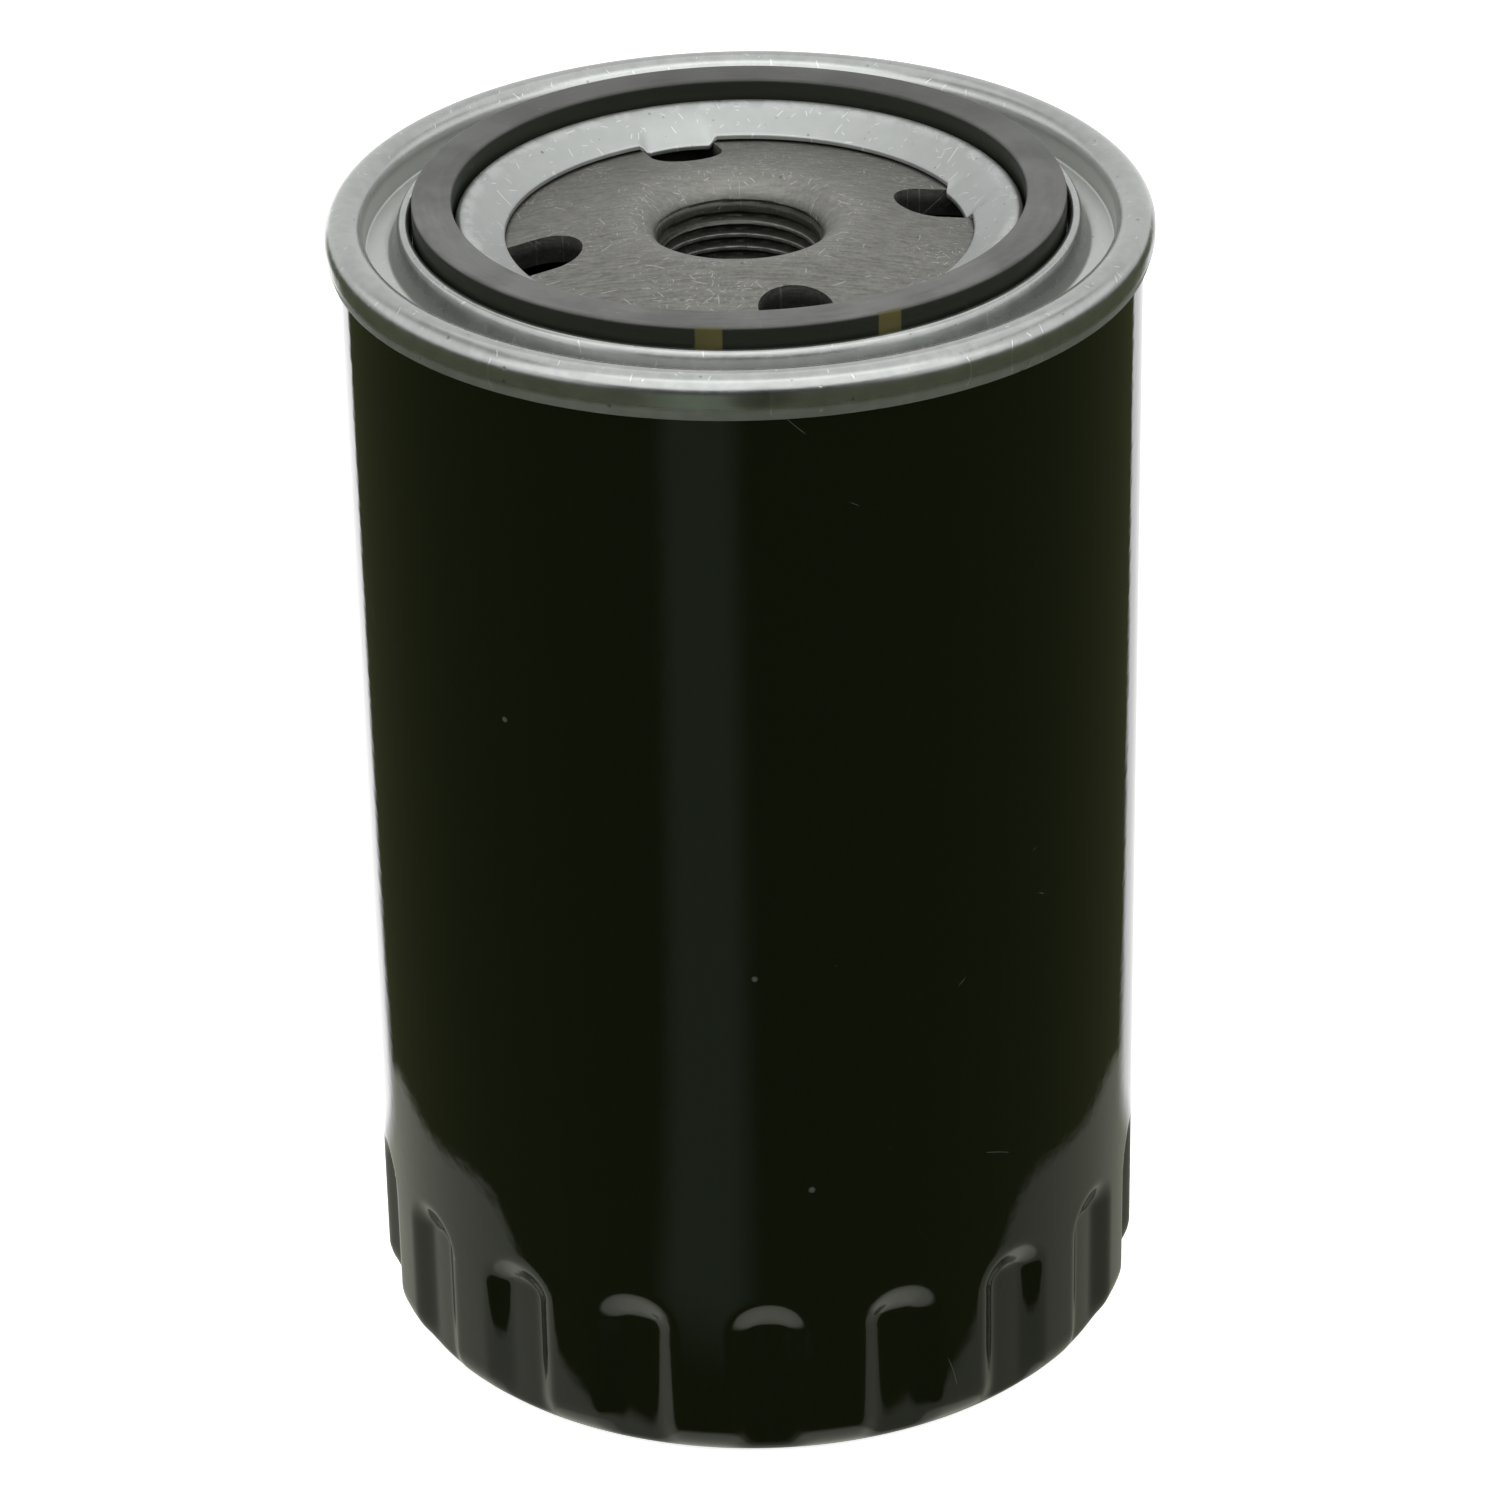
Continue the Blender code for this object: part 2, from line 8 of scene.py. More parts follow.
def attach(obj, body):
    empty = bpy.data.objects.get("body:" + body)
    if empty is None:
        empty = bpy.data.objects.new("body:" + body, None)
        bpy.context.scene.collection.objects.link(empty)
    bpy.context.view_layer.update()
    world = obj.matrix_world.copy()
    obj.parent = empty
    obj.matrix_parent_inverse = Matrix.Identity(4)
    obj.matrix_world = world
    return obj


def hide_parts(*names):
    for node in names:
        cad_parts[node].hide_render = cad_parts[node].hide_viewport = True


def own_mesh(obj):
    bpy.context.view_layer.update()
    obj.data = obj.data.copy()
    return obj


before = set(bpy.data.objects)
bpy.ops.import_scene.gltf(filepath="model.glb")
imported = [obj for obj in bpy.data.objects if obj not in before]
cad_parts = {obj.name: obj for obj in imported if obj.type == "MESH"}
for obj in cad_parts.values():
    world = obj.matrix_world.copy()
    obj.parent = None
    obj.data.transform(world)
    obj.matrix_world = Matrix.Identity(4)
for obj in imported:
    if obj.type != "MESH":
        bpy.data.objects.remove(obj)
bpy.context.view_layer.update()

# ---- The can -----------------------------------------------------------------------------
# A deep-drawn steel cup with a wall of 0.7 mm and eighteen wrench flutes pressed into its lower
# end. It is sprayed and baked with a gloss black enamel. Its open end is rolled into the lid.

MM = 0.001


def rounded(outline, points=5):
    """A closed outline of (radius, height, bend) corners, each corner drawn as a curve of that bend."""
    drawn = []
    for i, (r, z, bend) in enumerate(outline):
        corner = Vector((r, z))
        before = Vector(outline[i - 1][:2]) - corner
        after = Vector(outline[(i + 1) % len(outline)][:2]) - corner
        if not bend:
            drawn.append(tuple(corner))
            continue
        start = corner + before.normalized() * min(bend, before.length * 0.49)
        end = corner + after.normalized() * min(bend, after.length * 0.49)
        for k in range(points):
            t = k / (points - 1)
            drawn.append(tuple(start * (1 - t) ** 2 + corner * 2 * t * (1 - t) + end * t**2))
    return drawn


def split(line, longest):
    """The same line with points added, so that none of its stretches is over the longest."""
    drawn = [line[0]]
    for (r0, z0), (r1, z1) in zip(line, line[1:]):
        parts = max(1, round(hypot(r1 - r0, z1 - z0) / longest + 0.45))
        drawn += [(r0 + (r1 - r0) * k / parts, z0 + (z1 - z0) * k / parts) for k in range(1, parts + 1)]
    return drawn


def arc(centre_r, centre_z, radius, start_deg, end_deg, steps):
    """Points of a circular arc in the radius-height plane."""
    turns = [radians(start_deg + (end_deg - start_deg) * i / steps) for i in range(steps + 1)]
    return [(centre_r + radius * cos(a), centre_z + radius * sin(a)) for a in turns]


def spun(name, outline, steps, tags=None):
    """A closed shell turned about Z. A point at radius 0 is a pole; tags keeps one number a point."""
    points, rings, kept = [], [], []
    for i, (r, z) in enumerate(outline):
        count = 1 if r == 0 else steps
        rings.append([len(points) + k % count for k in range(steps)])
        for k in range(count):
            turn = 2 * pi * k / steps
            points.append((r * MM * cos(turn), r * MM * sin(turn), z * MM))
            kept.append(tags[i] if tags else 0.0)
    if outline[0][0] > 0:
        rings.append(rings[0])
    faces = []
    for low, high in zip(rings, rings[1:]):
        for k in range(steps):
            j = (k + 1) % steps
            faces.append(tuple(dict.fromkeys((low[k], low[j], high[j], high[k]))))
    mesh = bpy.data.meshes.new(name)
    mesh.from_pydata(points, [], faces)
    if tags:
        mesh.attributes.new("tag", "FLOAT", "POINT").data.foreach_set("value", kept)
    return placed(name, mesh)


def placed(name, mesh, crease_deg=35):
    """An object of this mesh, faces outwards and smooth up to the crease angle."""
    work = bmesh.new()
    work.from_mesh(mesh)
    bmesh.ops.recalc_face_normals(work, faces=work.faces)
    work.to_mesh(mesh)
    work.free()
    mesh.shade_smooth()
    mesh.set_sharp_from_angle(angle=radians(crease_deg))
    made = bpy.data.objects.new(name, mesh)
    bpy.context.scene.collection.objects.link(made)
    return made


def add(tree, kind, inputs=(), **settings):
    """One node with its settings. An input is given by name or number, as a value or another's output."""
    made = tree.nodes.new(kind)
    for setting, value in settings.items():
        setattr(made, setting, value)
    for key, value in dict(inputs).items():
        if isinstance(value, bpy.types.NodeSocket):
            tree.links.new(value, made.inputs[key])
        else:
            made.inputs[key].default_value = value
    return made


def calc(tree, operation, *values, clamp=False):
    """The output of one Math node."""
    return add(tree, "ShaderNodeMath", enumerate(values), operation=operation, use_clamp=clamp).outputs[0]


def times(tree, first, second, clamp=False):
    """The product of two values."""
    return calc(tree, "MULTIPLY", first, second, clamp=clamp)


def from_axis(tree, x, y):
    """The distance from Z of a place at x and y."""
    return calc(tree, "SQRT", calc(tree, "ADD", times(tree, x, x), times(tree, y, y)))


def ease(tree, value, start, end, low=0.0, high=1.0):
    """A smooth step of the value from low at start to high at end."""
    inputs = {0: value, 1: start, 2: end, 3: low, 4: high}
    return add(tree, "ShaderNodeMapRange", inputs, interpolation_type="SMOOTHSTEP").outputs[0]


def named_tree(name, kind, inputs, outputs):
    """An empty node tree with named sockets; returns it with its input and output nodes."""
    tree = bpy.data.node_groups.new(name, kind)
    for socket, socket_type, value in inputs:
        made = tree.interface.new_socket(name=socket, in_out="INPUT", socket_type="NodeSocket" + socket_type)
        if value is not None:
            made.default_value = value
    for socket, socket_type in outputs:
        tree.interface.new_socket(name=socket, in_out="OUTPUT", socket_type="NodeSocket" + socket_type)
    return tree, add(tree, "NodeGroupInput").outputs, add(tree, "NodeGroupOutput").inputs


def end_tree(tree, given, result, shape):
    """Closes a Geometry Nodes tree: real geometry, with its material."""
    real = add(tree, "GeometryNodeRealizeInstances", {0: shape}).outputs[0]
    clad = add(tree, "GeometryNodeSetMaterial", {"Geometry": real, "Material": given["Material"]})
    tree.links.new(clad.outputs[0], result[0])


def grown(name, tree, sizes, base=None, crease_deg=35):
    """The plain mesh that a Geometry Nodes tree makes, from a base object if it has one."""
    source = base or placed(name + "_base", bpy.data.meshes.new(name))
    step = source.modifiers.new("make", "NODES")
    step.node_group = tree
    sockets = [item for item in tree.interface.items_tree if item.in_out == "INPUT"]
    for socket in sockets:
        if socket.name in sizes:
            step[socket.identifier] = sizes[socket.name]
    baked = bpy.data.meshes.new_from_object(source.evaluated_get(bpy.context.evaluated_depsgraph_get()))
    bpy.data.objects.remove(source)
    return placed(name, baked, crease_deg)


def new_material(name):
    """An empty material; returns it with its tree."""
    made = bpy.data.materials.new(name)
    made.use_nodes = True
    made.node_tree.nodes.clear()
    return made, made.node_tree


def close_material(tree, shader):
    """Joins the shader to the material's output."""
    add(tree, "ShaderNodeOutputMaterial", {"Surface": shader.outputs[0]})


def on_surface(tree, radius=45.0):
    """Millimetre positions: in plan, unrolled about Z at a radius, and the radius and angle themselves."""
    place = add(tree, "ShaderNodeTexCoord").outputs["Object"]
    plan = add(tree, "ShaderNodeVectorMath", {0: place, "Scale": 1000.0}, operation="SCALE").outputs[0]
    x, y, z = add(tree, "ShaderNodeSeparateXYZ", {0: plan}).outputs
    away = from_axis(tree, x, y)
    turn = calc(tree, "ARCTAN2", y, x)
    flat = {0: times(tree, turn, radius), 1: calc(tree, "SUBTRACT", z, away), 2: z}
    unrolled = add(tree, "ShaderNodeCombineXYZ", flat).outputs[0]
    return {"plan": plan, "unrolled": unrolled, "radius": away, "turn": turn, "height": z}


def scratch_group():
    """Short straight or slightly bent scratches in random directions, one at most in each cell."""
    inputs = [("Vector", "Vector", None), ("Cell", "Float", 6.0)]
    inputs += [("Width", "Float", 0.1), ("Share", "Float", 0.5)]
    tree, given, result = named_tree("scratches", "ShaderNodeTree", inputs, [("Mask", "Float")])
    scale = calc(tree, "DIVIDE", 1.0, given["Cell"])
    tiled = {"Vector": given["Vector"], "Scale": scale}
    cells = add(tree, "ShaderNodeTexVoronoi", tiled, voronoi_dimensions="2D")
    scaled = add(tree, "ShaderNodeVectorMath", {0: given["Vector"], "Scale": scale}, operation="SCALE")
    centre = {0: cells.outputs["Position"], "Scale": scale}
    centre = add(tree, "ShaderNodeVectorMath", centre, operation="SCALE").outputs[0]
    local = {0: scaled.outputs[0], 1: centre}
    local = add(tree, "ShaderNodeVectorMath", local, operation="SUBTRACT").outputs[0]
    first, second, third = add(tree, "ShaderNodeSeparateColor", {0: cells.outputs["Color"]}).outputs
    spin = {"Vector": local, "Angle": times(tree, first, 2 * pi)}
    turned = add(tree, "ShaderNodeVectorRotate", spin, rotation_type="Z_AXIS")
    along, across, _ = add(tree, "ShaderNodeSeparateXYZ", {0: turned.outputs[0]}).outputs
    bow = times(tree, times(tree, along, along), calc(tree, "MULTIPLY_ADD", second, 0.5, -0.25))
    off = times(tree, calc(tree, "ABSOLUTE", calc(tree, "ADD", across, bow)), given["Cell"])
    thin = calc(tree, "SUBTRACT", 1.0, calc(tree, "DIVIDE", off, given["Width"]), clamp=True)
    reach = times(tree, second, 0.45)
    ends = times(tree, calc(tree, "SUBTRACT", reach, calc(tree, "ABSOLUTE", along)), 9.0, clamp=True)
    there = calc(tree, "LESS_THAN", third, given["Share"])
    mask = times(tree, times(tree, thin, ends), there)
    tree.links.new(mask, result["Mask"])
    return tree


def speck_group():
    """Small round specks, such as pits or dust, of random size."""
    inputs = [("Vector", "Vector", None), ("Cell", "Float", 2.0), ("Share", "Float", 0.3)]
    tree, given, result = named_tree("specks", "ShaderNodeTree", inputs, [("Mask", "Float")])
    scale = calc(tree, "DIVIDE", 1.0, given["Cell"])
    cells = add(tree, "ShaderNodeTexVoronoi", {"Vector": given["Vector"], "Scale": scale})
    first, second, _ = add(tree, "ShaderNodeSeparateColor", {0: cells.outputs["Color"]}).outputs
    size = calc(tree, "MULTIPLY_ADD", second, 0.13, 0.04)
    dot = ease(tree, calc(tree, "DIVIDE", cells.outputs["Distance"], size), 1.0, 0.45)
    tree.links.new(times(tree, dot, calc(tree, "LESS_THAN", first, given["Share"])), result["Mask"])
    return tree


def cloud_group():
    """Soft uneven clouds from 0 to 1, as a finish has from one patch to the next."""
    inputs = [("Vector", "Vector", None), ("Size", "Float", 8.0), ("Contrast", "Float", 1.0)]
    tree, given, result = named_tree("clouds", "ShaderNodeTree", inputs, [("Value", "Float")])
    scale = calc(tree, "DIVIDE", 1.0, given["Size"])
    texture = {"Vector": given["Vector"], "Scale": scale, "Detail": 4.0, "Roughness": 0.6}
    noise = add(tree, "ShaderNodeTexNoise", texture)
    spread = times(tree, calc(tree, "SUBTRACT", noise.outputs[0], 0.5), given["Contrast"])
    tree.links.new(calc(tree, "ADD", spread, 0.5, clamp=True), result["Value"])
    return tree


SCRATCHES = scratch_group()
SPECKS = speck_group()
CLOUDS = cloud_group()


def effect(tree, group, **inputs):
    """One of the shared effects, placed in a material."""
    made = add(tree, "ShaderNodeGroup", node_tree=group)
    for name, value in inputs.items():
        socket = made.inputs[name]
        if isinstance(value, bpy.types.NodeSocket):
            tree.links.new(value, socket)
        else:
            socket.default_value = value
    return made.outputs[0]


def blended(tree, amount, below, above):
    """One colour over another by a mask."""
    mix = add(tree, "ShaderNodeMix", {"Factor": amount}, data_type="RGBA")
    for key, colour in ((6, below), (7, above)):
        if isinstance(colour, bpy.types.NodeSocket):
            tree.links.new(colour, mix.inputs[key])
        else:
            mix.inputs[key].default_value = (*colour, 1.0)
    return mix.outputs[2]


def enamel():
    """Gloss black enamel: faint orange peel, a little dust and a few hairline scratches."""
    made, tree = new_material("black_enamel")
    at = on_surface(tree)
    dust = effect(tree, SPECKS, Vector=at["plan"], Cell=3.0, Share=0.035)
    hairs = effect(tree, SCRATCHES, Vector=at["unrolled"], Cell=7.0, Width=0.08, Share=0.045)
    marks = times(tree, calc(tree, "MAXIMUM", dust, hairs), 0.55)
    wiped = effect(tree, CLOUDS, Vector=at["unrolled"], Size=22.0, Contrast=1.3)
    colour = blended(tree, marks, (0.0013, 0.0020, 0.0004), (0.075, 0.078, 0.070))
    rough = calc(tree, "MULTIPLY_ADD", wiped, 0.035, calc(tree, "MULTIPLY_ADD", marks, 0.3, 0.035))
    peel = add(tree, "ShaderNodeTexNoise", {"Vector": at["plan"], "Scale": 0.55, "Detail": 1.0})
    bump = add(tree, "ShaderNodeBump", {"Height": peel.outputs[0], "Strength": 0.035, "Distance": 0.0004})
    shader = {"Base Color": colour, "Roughness": rough, "IOR": 1.52, "Normal": bump.outputs[0]}
    close_material(tree, add(tree, "ShaderNodeBsdfPrincipled", shader))
    return made


CAN_R = 45.35
CAN_WALL = 0.7
CAN_TOP = 138.6
CORNER_R = 5.2
FLUTE_STEPS = 28
FLUTES = {
    "Flutes": 18.0,
    "First turn": radians(11.0),
    "Depth": 1.45 * MM,
    "Top": 22.5 * MM,
    "Half width": 4.85 * MM,
    "Arch radius": 4.7 * MM,
    "Side slope": 2.5 * MM,
    "Top slope": 3.5 * MM,
    "Wall radius": CAN_R * MM,
}


def flute_tree():
    """Presses evenly spaced pockets into a turned wall: straight sides, a rounded sloping top."""
    inputs = [("Geometry", "Geometry", None)] + [(name, "Float", None) for name in FLUTES]
    inputs += [("Material", "Material", None)]
    tree, given, result = named_tree("wrench_flutes", "GeometryNodeTree", inputs, [("Geometry", "Geometry")])
    place = add(tree, "GeometryNodeInputPosition").outputs[0]
    x, y, z = add(tree, "ShaderNodeSeparateXYZ", {0: place}).outputs
    away = from_axis(tree, x, y)
    pitch = calc(tree, "DIVIDE", 2 * pi, given["Flutes"])
    turn = calc(tree, "SUBTRACT", calc(tree, "ARCTAN2", y, x), given["First turn"])
    off = calc(tree, "WRAP", turn, times(tree, pitch, 0.5), times(tree, pitch, -0.5))
    off = times(tree, calc(tree, "ABSOLUTE", off), given["Wall radius"])
    side = calc(tree, "DIVIDE", calc(tree, "SUBTRACT", given["Half width"], off), given["Arch radius"])
    top = calc(tree, "DIVIDE", calc(tree, "SUBTRACT", given["Top"], z), given["Arch radius"])
    left = calc(tree, "POWER", calc(tree, "SUBTRACT", 1.0, calc(tree, "MINIMUM", side, 1.0)), 2.0)
    above = calc(tree, "POWER", calc(tree, "SUBTRACT", 1.0, calc(tree, "MINIMUM", top, 1.0)), 2.0)
    whole = calc(tree, "ADD", left, above)
    inside = calc(tree, "SUBTRACT", 1.0, calc(tree, "SQRT", whole))
    upward = calc(tree, "DIVIDE", above, calc(tree, "ADD", whole, 0.001))
    wider = calc(tree, "SUBTRACT", given["Top slope"], given["Side slope"])
    slope = calc(tree, "MULTIPLY_ADD", upward, wider, given["Side slope"])
    ramp = calc(tree, "DIVIDE", times(tree, inside, given["Arch radius"]), slope)
    pressed = calc(tree, "SMOOTH_MAX", calc(tree, "SMOOTH_MIN", ramp, 1.0, 0.3), 0.0, 0.3)
    inset = add(tree, "GeometryNodeInputNamedAttribute", {"Name": "tag"}, data_type="FLOAT").outputs[0]
    floor = calc(tree, "SUBTRACT", calc(tree, "SUBTRACT", given["Wall radius"], given["Depth"]), inset)
    lowest = calc(tree, "SMOOTH_MIN", away, floor, 0.5 * MM)
    new_away = calc(tree, "ADD", away, times(tree, calc(tree, "SUBTRACT", lowest, away), pressed))
    ratio = calc(tree, "DIVIDE", new_away, calc(tree, "MAXIMUM", away, 1e-6))
    moved = {0: times(tree, x, ratio), 1: times(tree, y, ratio), 2: z}
    spot = add(tree, "ShaderNodeCombineXYZ", moved).outputs[0]
    shape = add(tree, "GeometryNodeSetPosition", {"Geometry": given["Geometry"], "Position": spot}).outputs[0]
    end_tree(tree, given, result, shape)
    return tree


def can_outline():
    """The can's outside from the middle of the base to the mouth, then its inside back; with the insets."""
    low = [(0, 1.0), (12.0, 1.0), (24.8, 1.0), (25.4, 0.9), (25.9, 0.65), (26.3, 0.3), (26.8, 0.08)]
    low += [(27.4, 0.0), (33.0, 0.0), (CAN_R - CORNER_R - 1.0, 0.0)]
    outside = low + arc(CAN_R - CORNER_R, CORNER_R, CORNER_R, -90, 0, 14)
    outside += split([(CAN_R, CORNER_R), (CAN_R, 24.0)], 0.42)[1:]
    outside += [(CAN_R, z) for z in (26.0, 30.0, 40.0, 60.0, 80.0, 100.0, 120.0, 134.0, 137.2)]
    outside += [(CAN_R + 0.1, 137.7), (CAN_R + 0.35, 138.1), (CAN_R + 0.35, CAN_TOP)]
    inner_r = CAN_R - CAN_WALL
    inside = [(inner_r, CAN_TOP), (inner_r, 100.0), (inner_r, 60.0), (inner_r, 30.0)]
    inside += split([(inner_r, 24.0), (inner_r, CORNER_R)], 0.9)
    inside += arc(CAN_R - CORNER_R, CORNER_R, CORNER_R - CAN_WALL, 0, -90, 8)[1:]
    inside += [(27.0, CAN_WALL), (26.0, 1.2), (25.2, 1.0 + CAN_WALL), (0, 1.0 + CAN_WALL)]
    return outside + inside, [0.0] * len(outside) + [CAN_WALL * MM] * len(inside)


outline, insets = can_outline()
can = grown(
    "can_shell",
    flute_tree(),
    {**FLUTES, "Material": enamel()},
    spun("can_base", outline, 18 * FLUTE_STEPS, tags=insets),
)
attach(can, "housing")
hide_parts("can")

# ---- The sealing compound in the seam -------------------------------------------------------
# A thin grey bead that is run into the lid's edge before it is rolled, and cures there. It makes
# the double seam tight against oil.


def plain(name, colour, rough, metal, cloud=0.25, size=6.0, bump=0.1):
    """A finish with soft clouds in its colour and roughness, and a fine surface grain."""
    made, tree = new_material(name)
    at = on_surface(tree)
    cloudy = effect(tree, CLOUDS, Vector=at["plan"], Size=size, Contrast=1.4)
    fine = effect(tree, CLOUDS, Vector=at["plan"], Size=0.5, Contrast=1.6)
    specks = effect(tree, SPECKS, Vector=at["plan"], Cell=2.6, Share=0.12)
    dark = tuple(part * (1 - cloud) for part in colour)
    light = tuple(min(1.0, part * (1 + cloud)) for part in colour)
    shade = blended(tree, cloudy, dark, light)
    shade = blended(tree, times(tree, specks, 0.5), shade, dark)
    rise = add(tree, "ShaderNodeBump", {"Height": fine, "Strength": bump, "Distance": 0.0003})
    shader = {"Base Color": shade, "Normal": rise.outputs[0], "Metallic": metal}
    shader["Roughness"] = calc(tree, "MULTIPLY_ADD", cloudy, 0.16, rough - 0.08)
    close_material(tree, add(tree, "ShaderNodeBsdfPrincipled", shader))
    return made


def finished(piece, material, body, *nodes, slot):
    """Gives a piece its material and its body, and hides the CAD nodes it stands for; slot is not used."""
    if not piece.data.materials:
        piece.data.materials.append(material)
    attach(piece, body)
    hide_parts(*nodes)


bead = rounded([(43.06, 136.8, 0.4), (43.06, 138.4, 0.4), (44.35, 138.4, 0.4), (44.35, 136.8, 0.4)])
compound = spun("seam_bead", bead, 180)
compound_grey = plain("seam_compound_grey", (0.24, 0.235, 0.20), 0.62, 0.0)
finished(compound, compound_grey, "housing", "seam_compound", slot="seam_compound")

# ---- The support spring ---------------------------------------------------------------------
# A leaf spring stamped from spring steel strip: a ring with four legs bent down. It stands loose
# in the closed end and presses the element up against the drainback membrane.

spring_steel = plain("oiled_spring_steel", (0.30, 0.29, 0.27), 0.34, 1.0, cloud=0.18, size=9.0)


LEAF_IN_R = 13.0
LEAF_OUT_R = 19.6
LEAF_TOP = 14.7
LEAF_LEG = [(LEAF_OUT_R, LEAF_TOP), (21.4, 14.3), (33.2, 2.5), (34.9, 1.85), (36.6, 1.8), (38.5, 2.1)]


def leaf_spring():
    """The ring and its four legs as one mesh with real thickness."""
    work = bmesh.new()
    steps, legs, half = 144, 4, 5.0
    inner, outer = [], []
    for k in range(steps):
        turn = 2 * pi * k / steps
        for edge, radius in ((inner, LEAF_IN_R), (outer, LEAF_OUT_R)):
            edge.append(work.verts.new((radius * MM * cos(turn), radius * MM * sin(turn), LEAF_TOP * MM)))
    for k in range(steps):
        j = (k + 1) % steps
        work.faces.new((inner[k], outer[k], outer[j], inner[j]))
    span = round(steps * atan2(half, LEAF_OUT_R) / (2 * pi)) * 2
    rows = split(LEAF_LEG, 1.2)[1:]
    for leg in range(legs):
        middle = steps // 8 + leg * steps // legs
        turn = 2 * pi * middle / steps
        last = [outer[(middle - span // 2 + k) % steps] for k in range(span + 1)]
        for i, (radius, height) in enumerate(rows):
            narrow = half - (0.9 if i == len(rows) - 1 else 0.0)
            row = []
            for k in range(span + 1):
                across = narrow * (2 * k / span - 1)
                x, y = radius * cos(turn) - across * sin(turn), radius * sin(turn) + across * cos(turn)
                row.append(work.verts.new((x * MM, y * MM, height * MM)))
            for k in range(span):
                work.faces.new((last[k], row[k], row[k + 1], last[k + 1]))
            last = row
    bmesh.ops.recalc_face_normals(work, faces=work.faces)
    mesh = bpy.data.meshes.new("leaf")
    work.to_mesh(mesh)
    work.free()
    return mesh


def thickened(name, mesh, wall, soft=0.12):
    """A sheet given its wall downwards, with slightly rounded edges, as a plain mesh."""
    source = bpy.data.objects.new(name + "_base", mesh)
    bpy.context.scene.collection.objects.link(source)
    shell = source.modifiers.new("wall", "SOLIDIFY")
    shell.thickness = wall * MM
    shell.offset = -1.0
    edge = source.modifiers.new("edge", "BEVEL")
    edge.width = soft * MM
    edge.segments = 2
    edge.limit_method = "ANGLE"
    baked = bpy.data.meshes.new_from_object(source.evaluated_get(bpy.context.evaluated_depsgraph_get()))
    bpy.data.objects.remove(source)
    return placed(name, baked)


leaf = thickened("leaf_spring", leaf_spring(), 0.8)
finished(leaf, spring_steel, "housing", "support_spring", slot="spring_steel")
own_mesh(leaf)

# ---- The element's lower end cap ------------------------------------------------------------
# A cup pressed from tinplate, with a raised neck in the middle that carries the bypass valve. A
# ring of green plastisol is poured into it and cured round the paper.

tinplate = plain("tinplate", (0.56, 0.56, 0.54), 0.28, 1.0, cloud=0.12, size=12.0)
plastisol_green = plain("plastisol_green", (0.22, 0.29, 0.20), 0.42, 0.0, cloud=0.2, size=14.0)

cup = [(6.4, 19.0, 0.1), (6.4, 18.4, 0.1), (10.8, 18.4, 0.5), (10.8, 15.0, 1.0), (40.0, 15.0, 0.9)]
cup += [(40.0, 19.5, 0.1), (39.4, 19.5, 0.1), (39.4, 15.6, 0.5), (11.4, 15.6, 0.5), (11.4, 19.0, 0.6)]
low_cap = spun("lower_end_cap", rounded(cup), 216)
finished(low_cap, tinplate, "element", "bottom_end_cap", slot="cap_steel")

glue = rounded([(16.2, 15.9, 0.2), (16.2, 17.7, 0.7), (39.1, 17.7, 0.7), (39.1, 15.9, 0.2)])
low_glue = spun("lower_plastisol", glue, 216)
finished(low_glue, plastisol_green, "element", "bottom_adhesive", slot="plastisol")

# ---- The filter paper -----------------------------------------------------------------------
# Resin-bonded cellulose paper, folded like a concertina into 44 pleats and closed into a ring by
# a thin steel clip. It is baked until it turns this brown.

PLEATS = {
    "Pleats": 44,
    "Inner radius": 18.75 * MM,
    "Outer radius": 38.3 * MM,
    "Paper": 0.5 * MM,
    "Low": 18.0 * MM,
    "High": 120.6 * MM,
}


def pleat_tree():
    """A star-shaped path with rounded folds, swept with the paper's edge-on section."""
    inputs = [("Pleats", "Int", None)] + [(name, "Float", None) for name in list(PLEATS)[1:]]
    inputs += [("Material", "Material", None)]
    tree, given, result = named_tree("folded_paper", "GeometryNodeTree", inputs, [("Geometry", "Geometry")])
    per_fold = 14.0
    count = times(tree, given["Pleats"], per_fold)
    ring = add(tree, "GeometryNodeCurvePrimitiveCircle", {"Resolution": count, "Radius": 1.0}, mode="RADIUS")
    index = add(tree, "GeometryNodeInputIndex").outputs[0]
    share = calc(tree, "FRACT", calc(tree, "DIVIDE", calc(tree, "ADD", index, 0.5), per_fold))
    zigzag = calc(tree, "ABSOLUTE", calc(tree, "MULTIPLY_ADD", share, 2.0, -1.0))
    bend = times(tree, calc(tree, "COSINE", times(tree, zigzag, pi)), -0.5)
    fold = calc(tree, "ADD", times(tree, zigzag, 0.8), calc(tree, "MULTIPLY_ADD", bend, 0.2, 0.1))
    deep = calc(tree, "SUBTRACT", given["Outer radius"], given["Inner radius"])
    away = calc(tree, "MULTIPLY_ADD", fold, deep, given["Inner radius"])
    middle = times(tree, calc(tree, "ADD", given["Low"], given["High"]), 0.5)
    place = add(tree, "GeometryNodeInputPosition").outputs[0]
    flat = add(tree, "ShaderNodeVectorMath", {0: place, "Scale": away}, operation="SCALE").outputs[0]
    lift = add(tree, "ShaderNodeCombineXYZ", {2: middle}).outputs[0]
    spot = add(tree, "ShaderNodeVectorMath", {0: flat, 1: lift}, operation="ADD").outputs[0]
    star = add(tree, "GeometryNodeSetPosition", {"Geometry": ring.outputs[0], "Position": spot}).outputs[0]
    upright = add(tree, "GeometryNodeSetCurveNormal", {0: star})
    upright.mode = "Z_UP"
    tall = calc(tree, "SUBTRACT", given["High"], given["Low"])
    edge = {"Width": given["Paper"], "Height": tall}
    section = add(tree, "GeometryNodeCurvePrimitiveQuadrilateral", edge).outputs[0]
    swept = {"Curve": upright.outputs[0], "Profile Curve": section}
    end_tree(tree, given, result, add(tree, "GeometryNodeCurveToMesh", swept).outputs[0])
    return tree


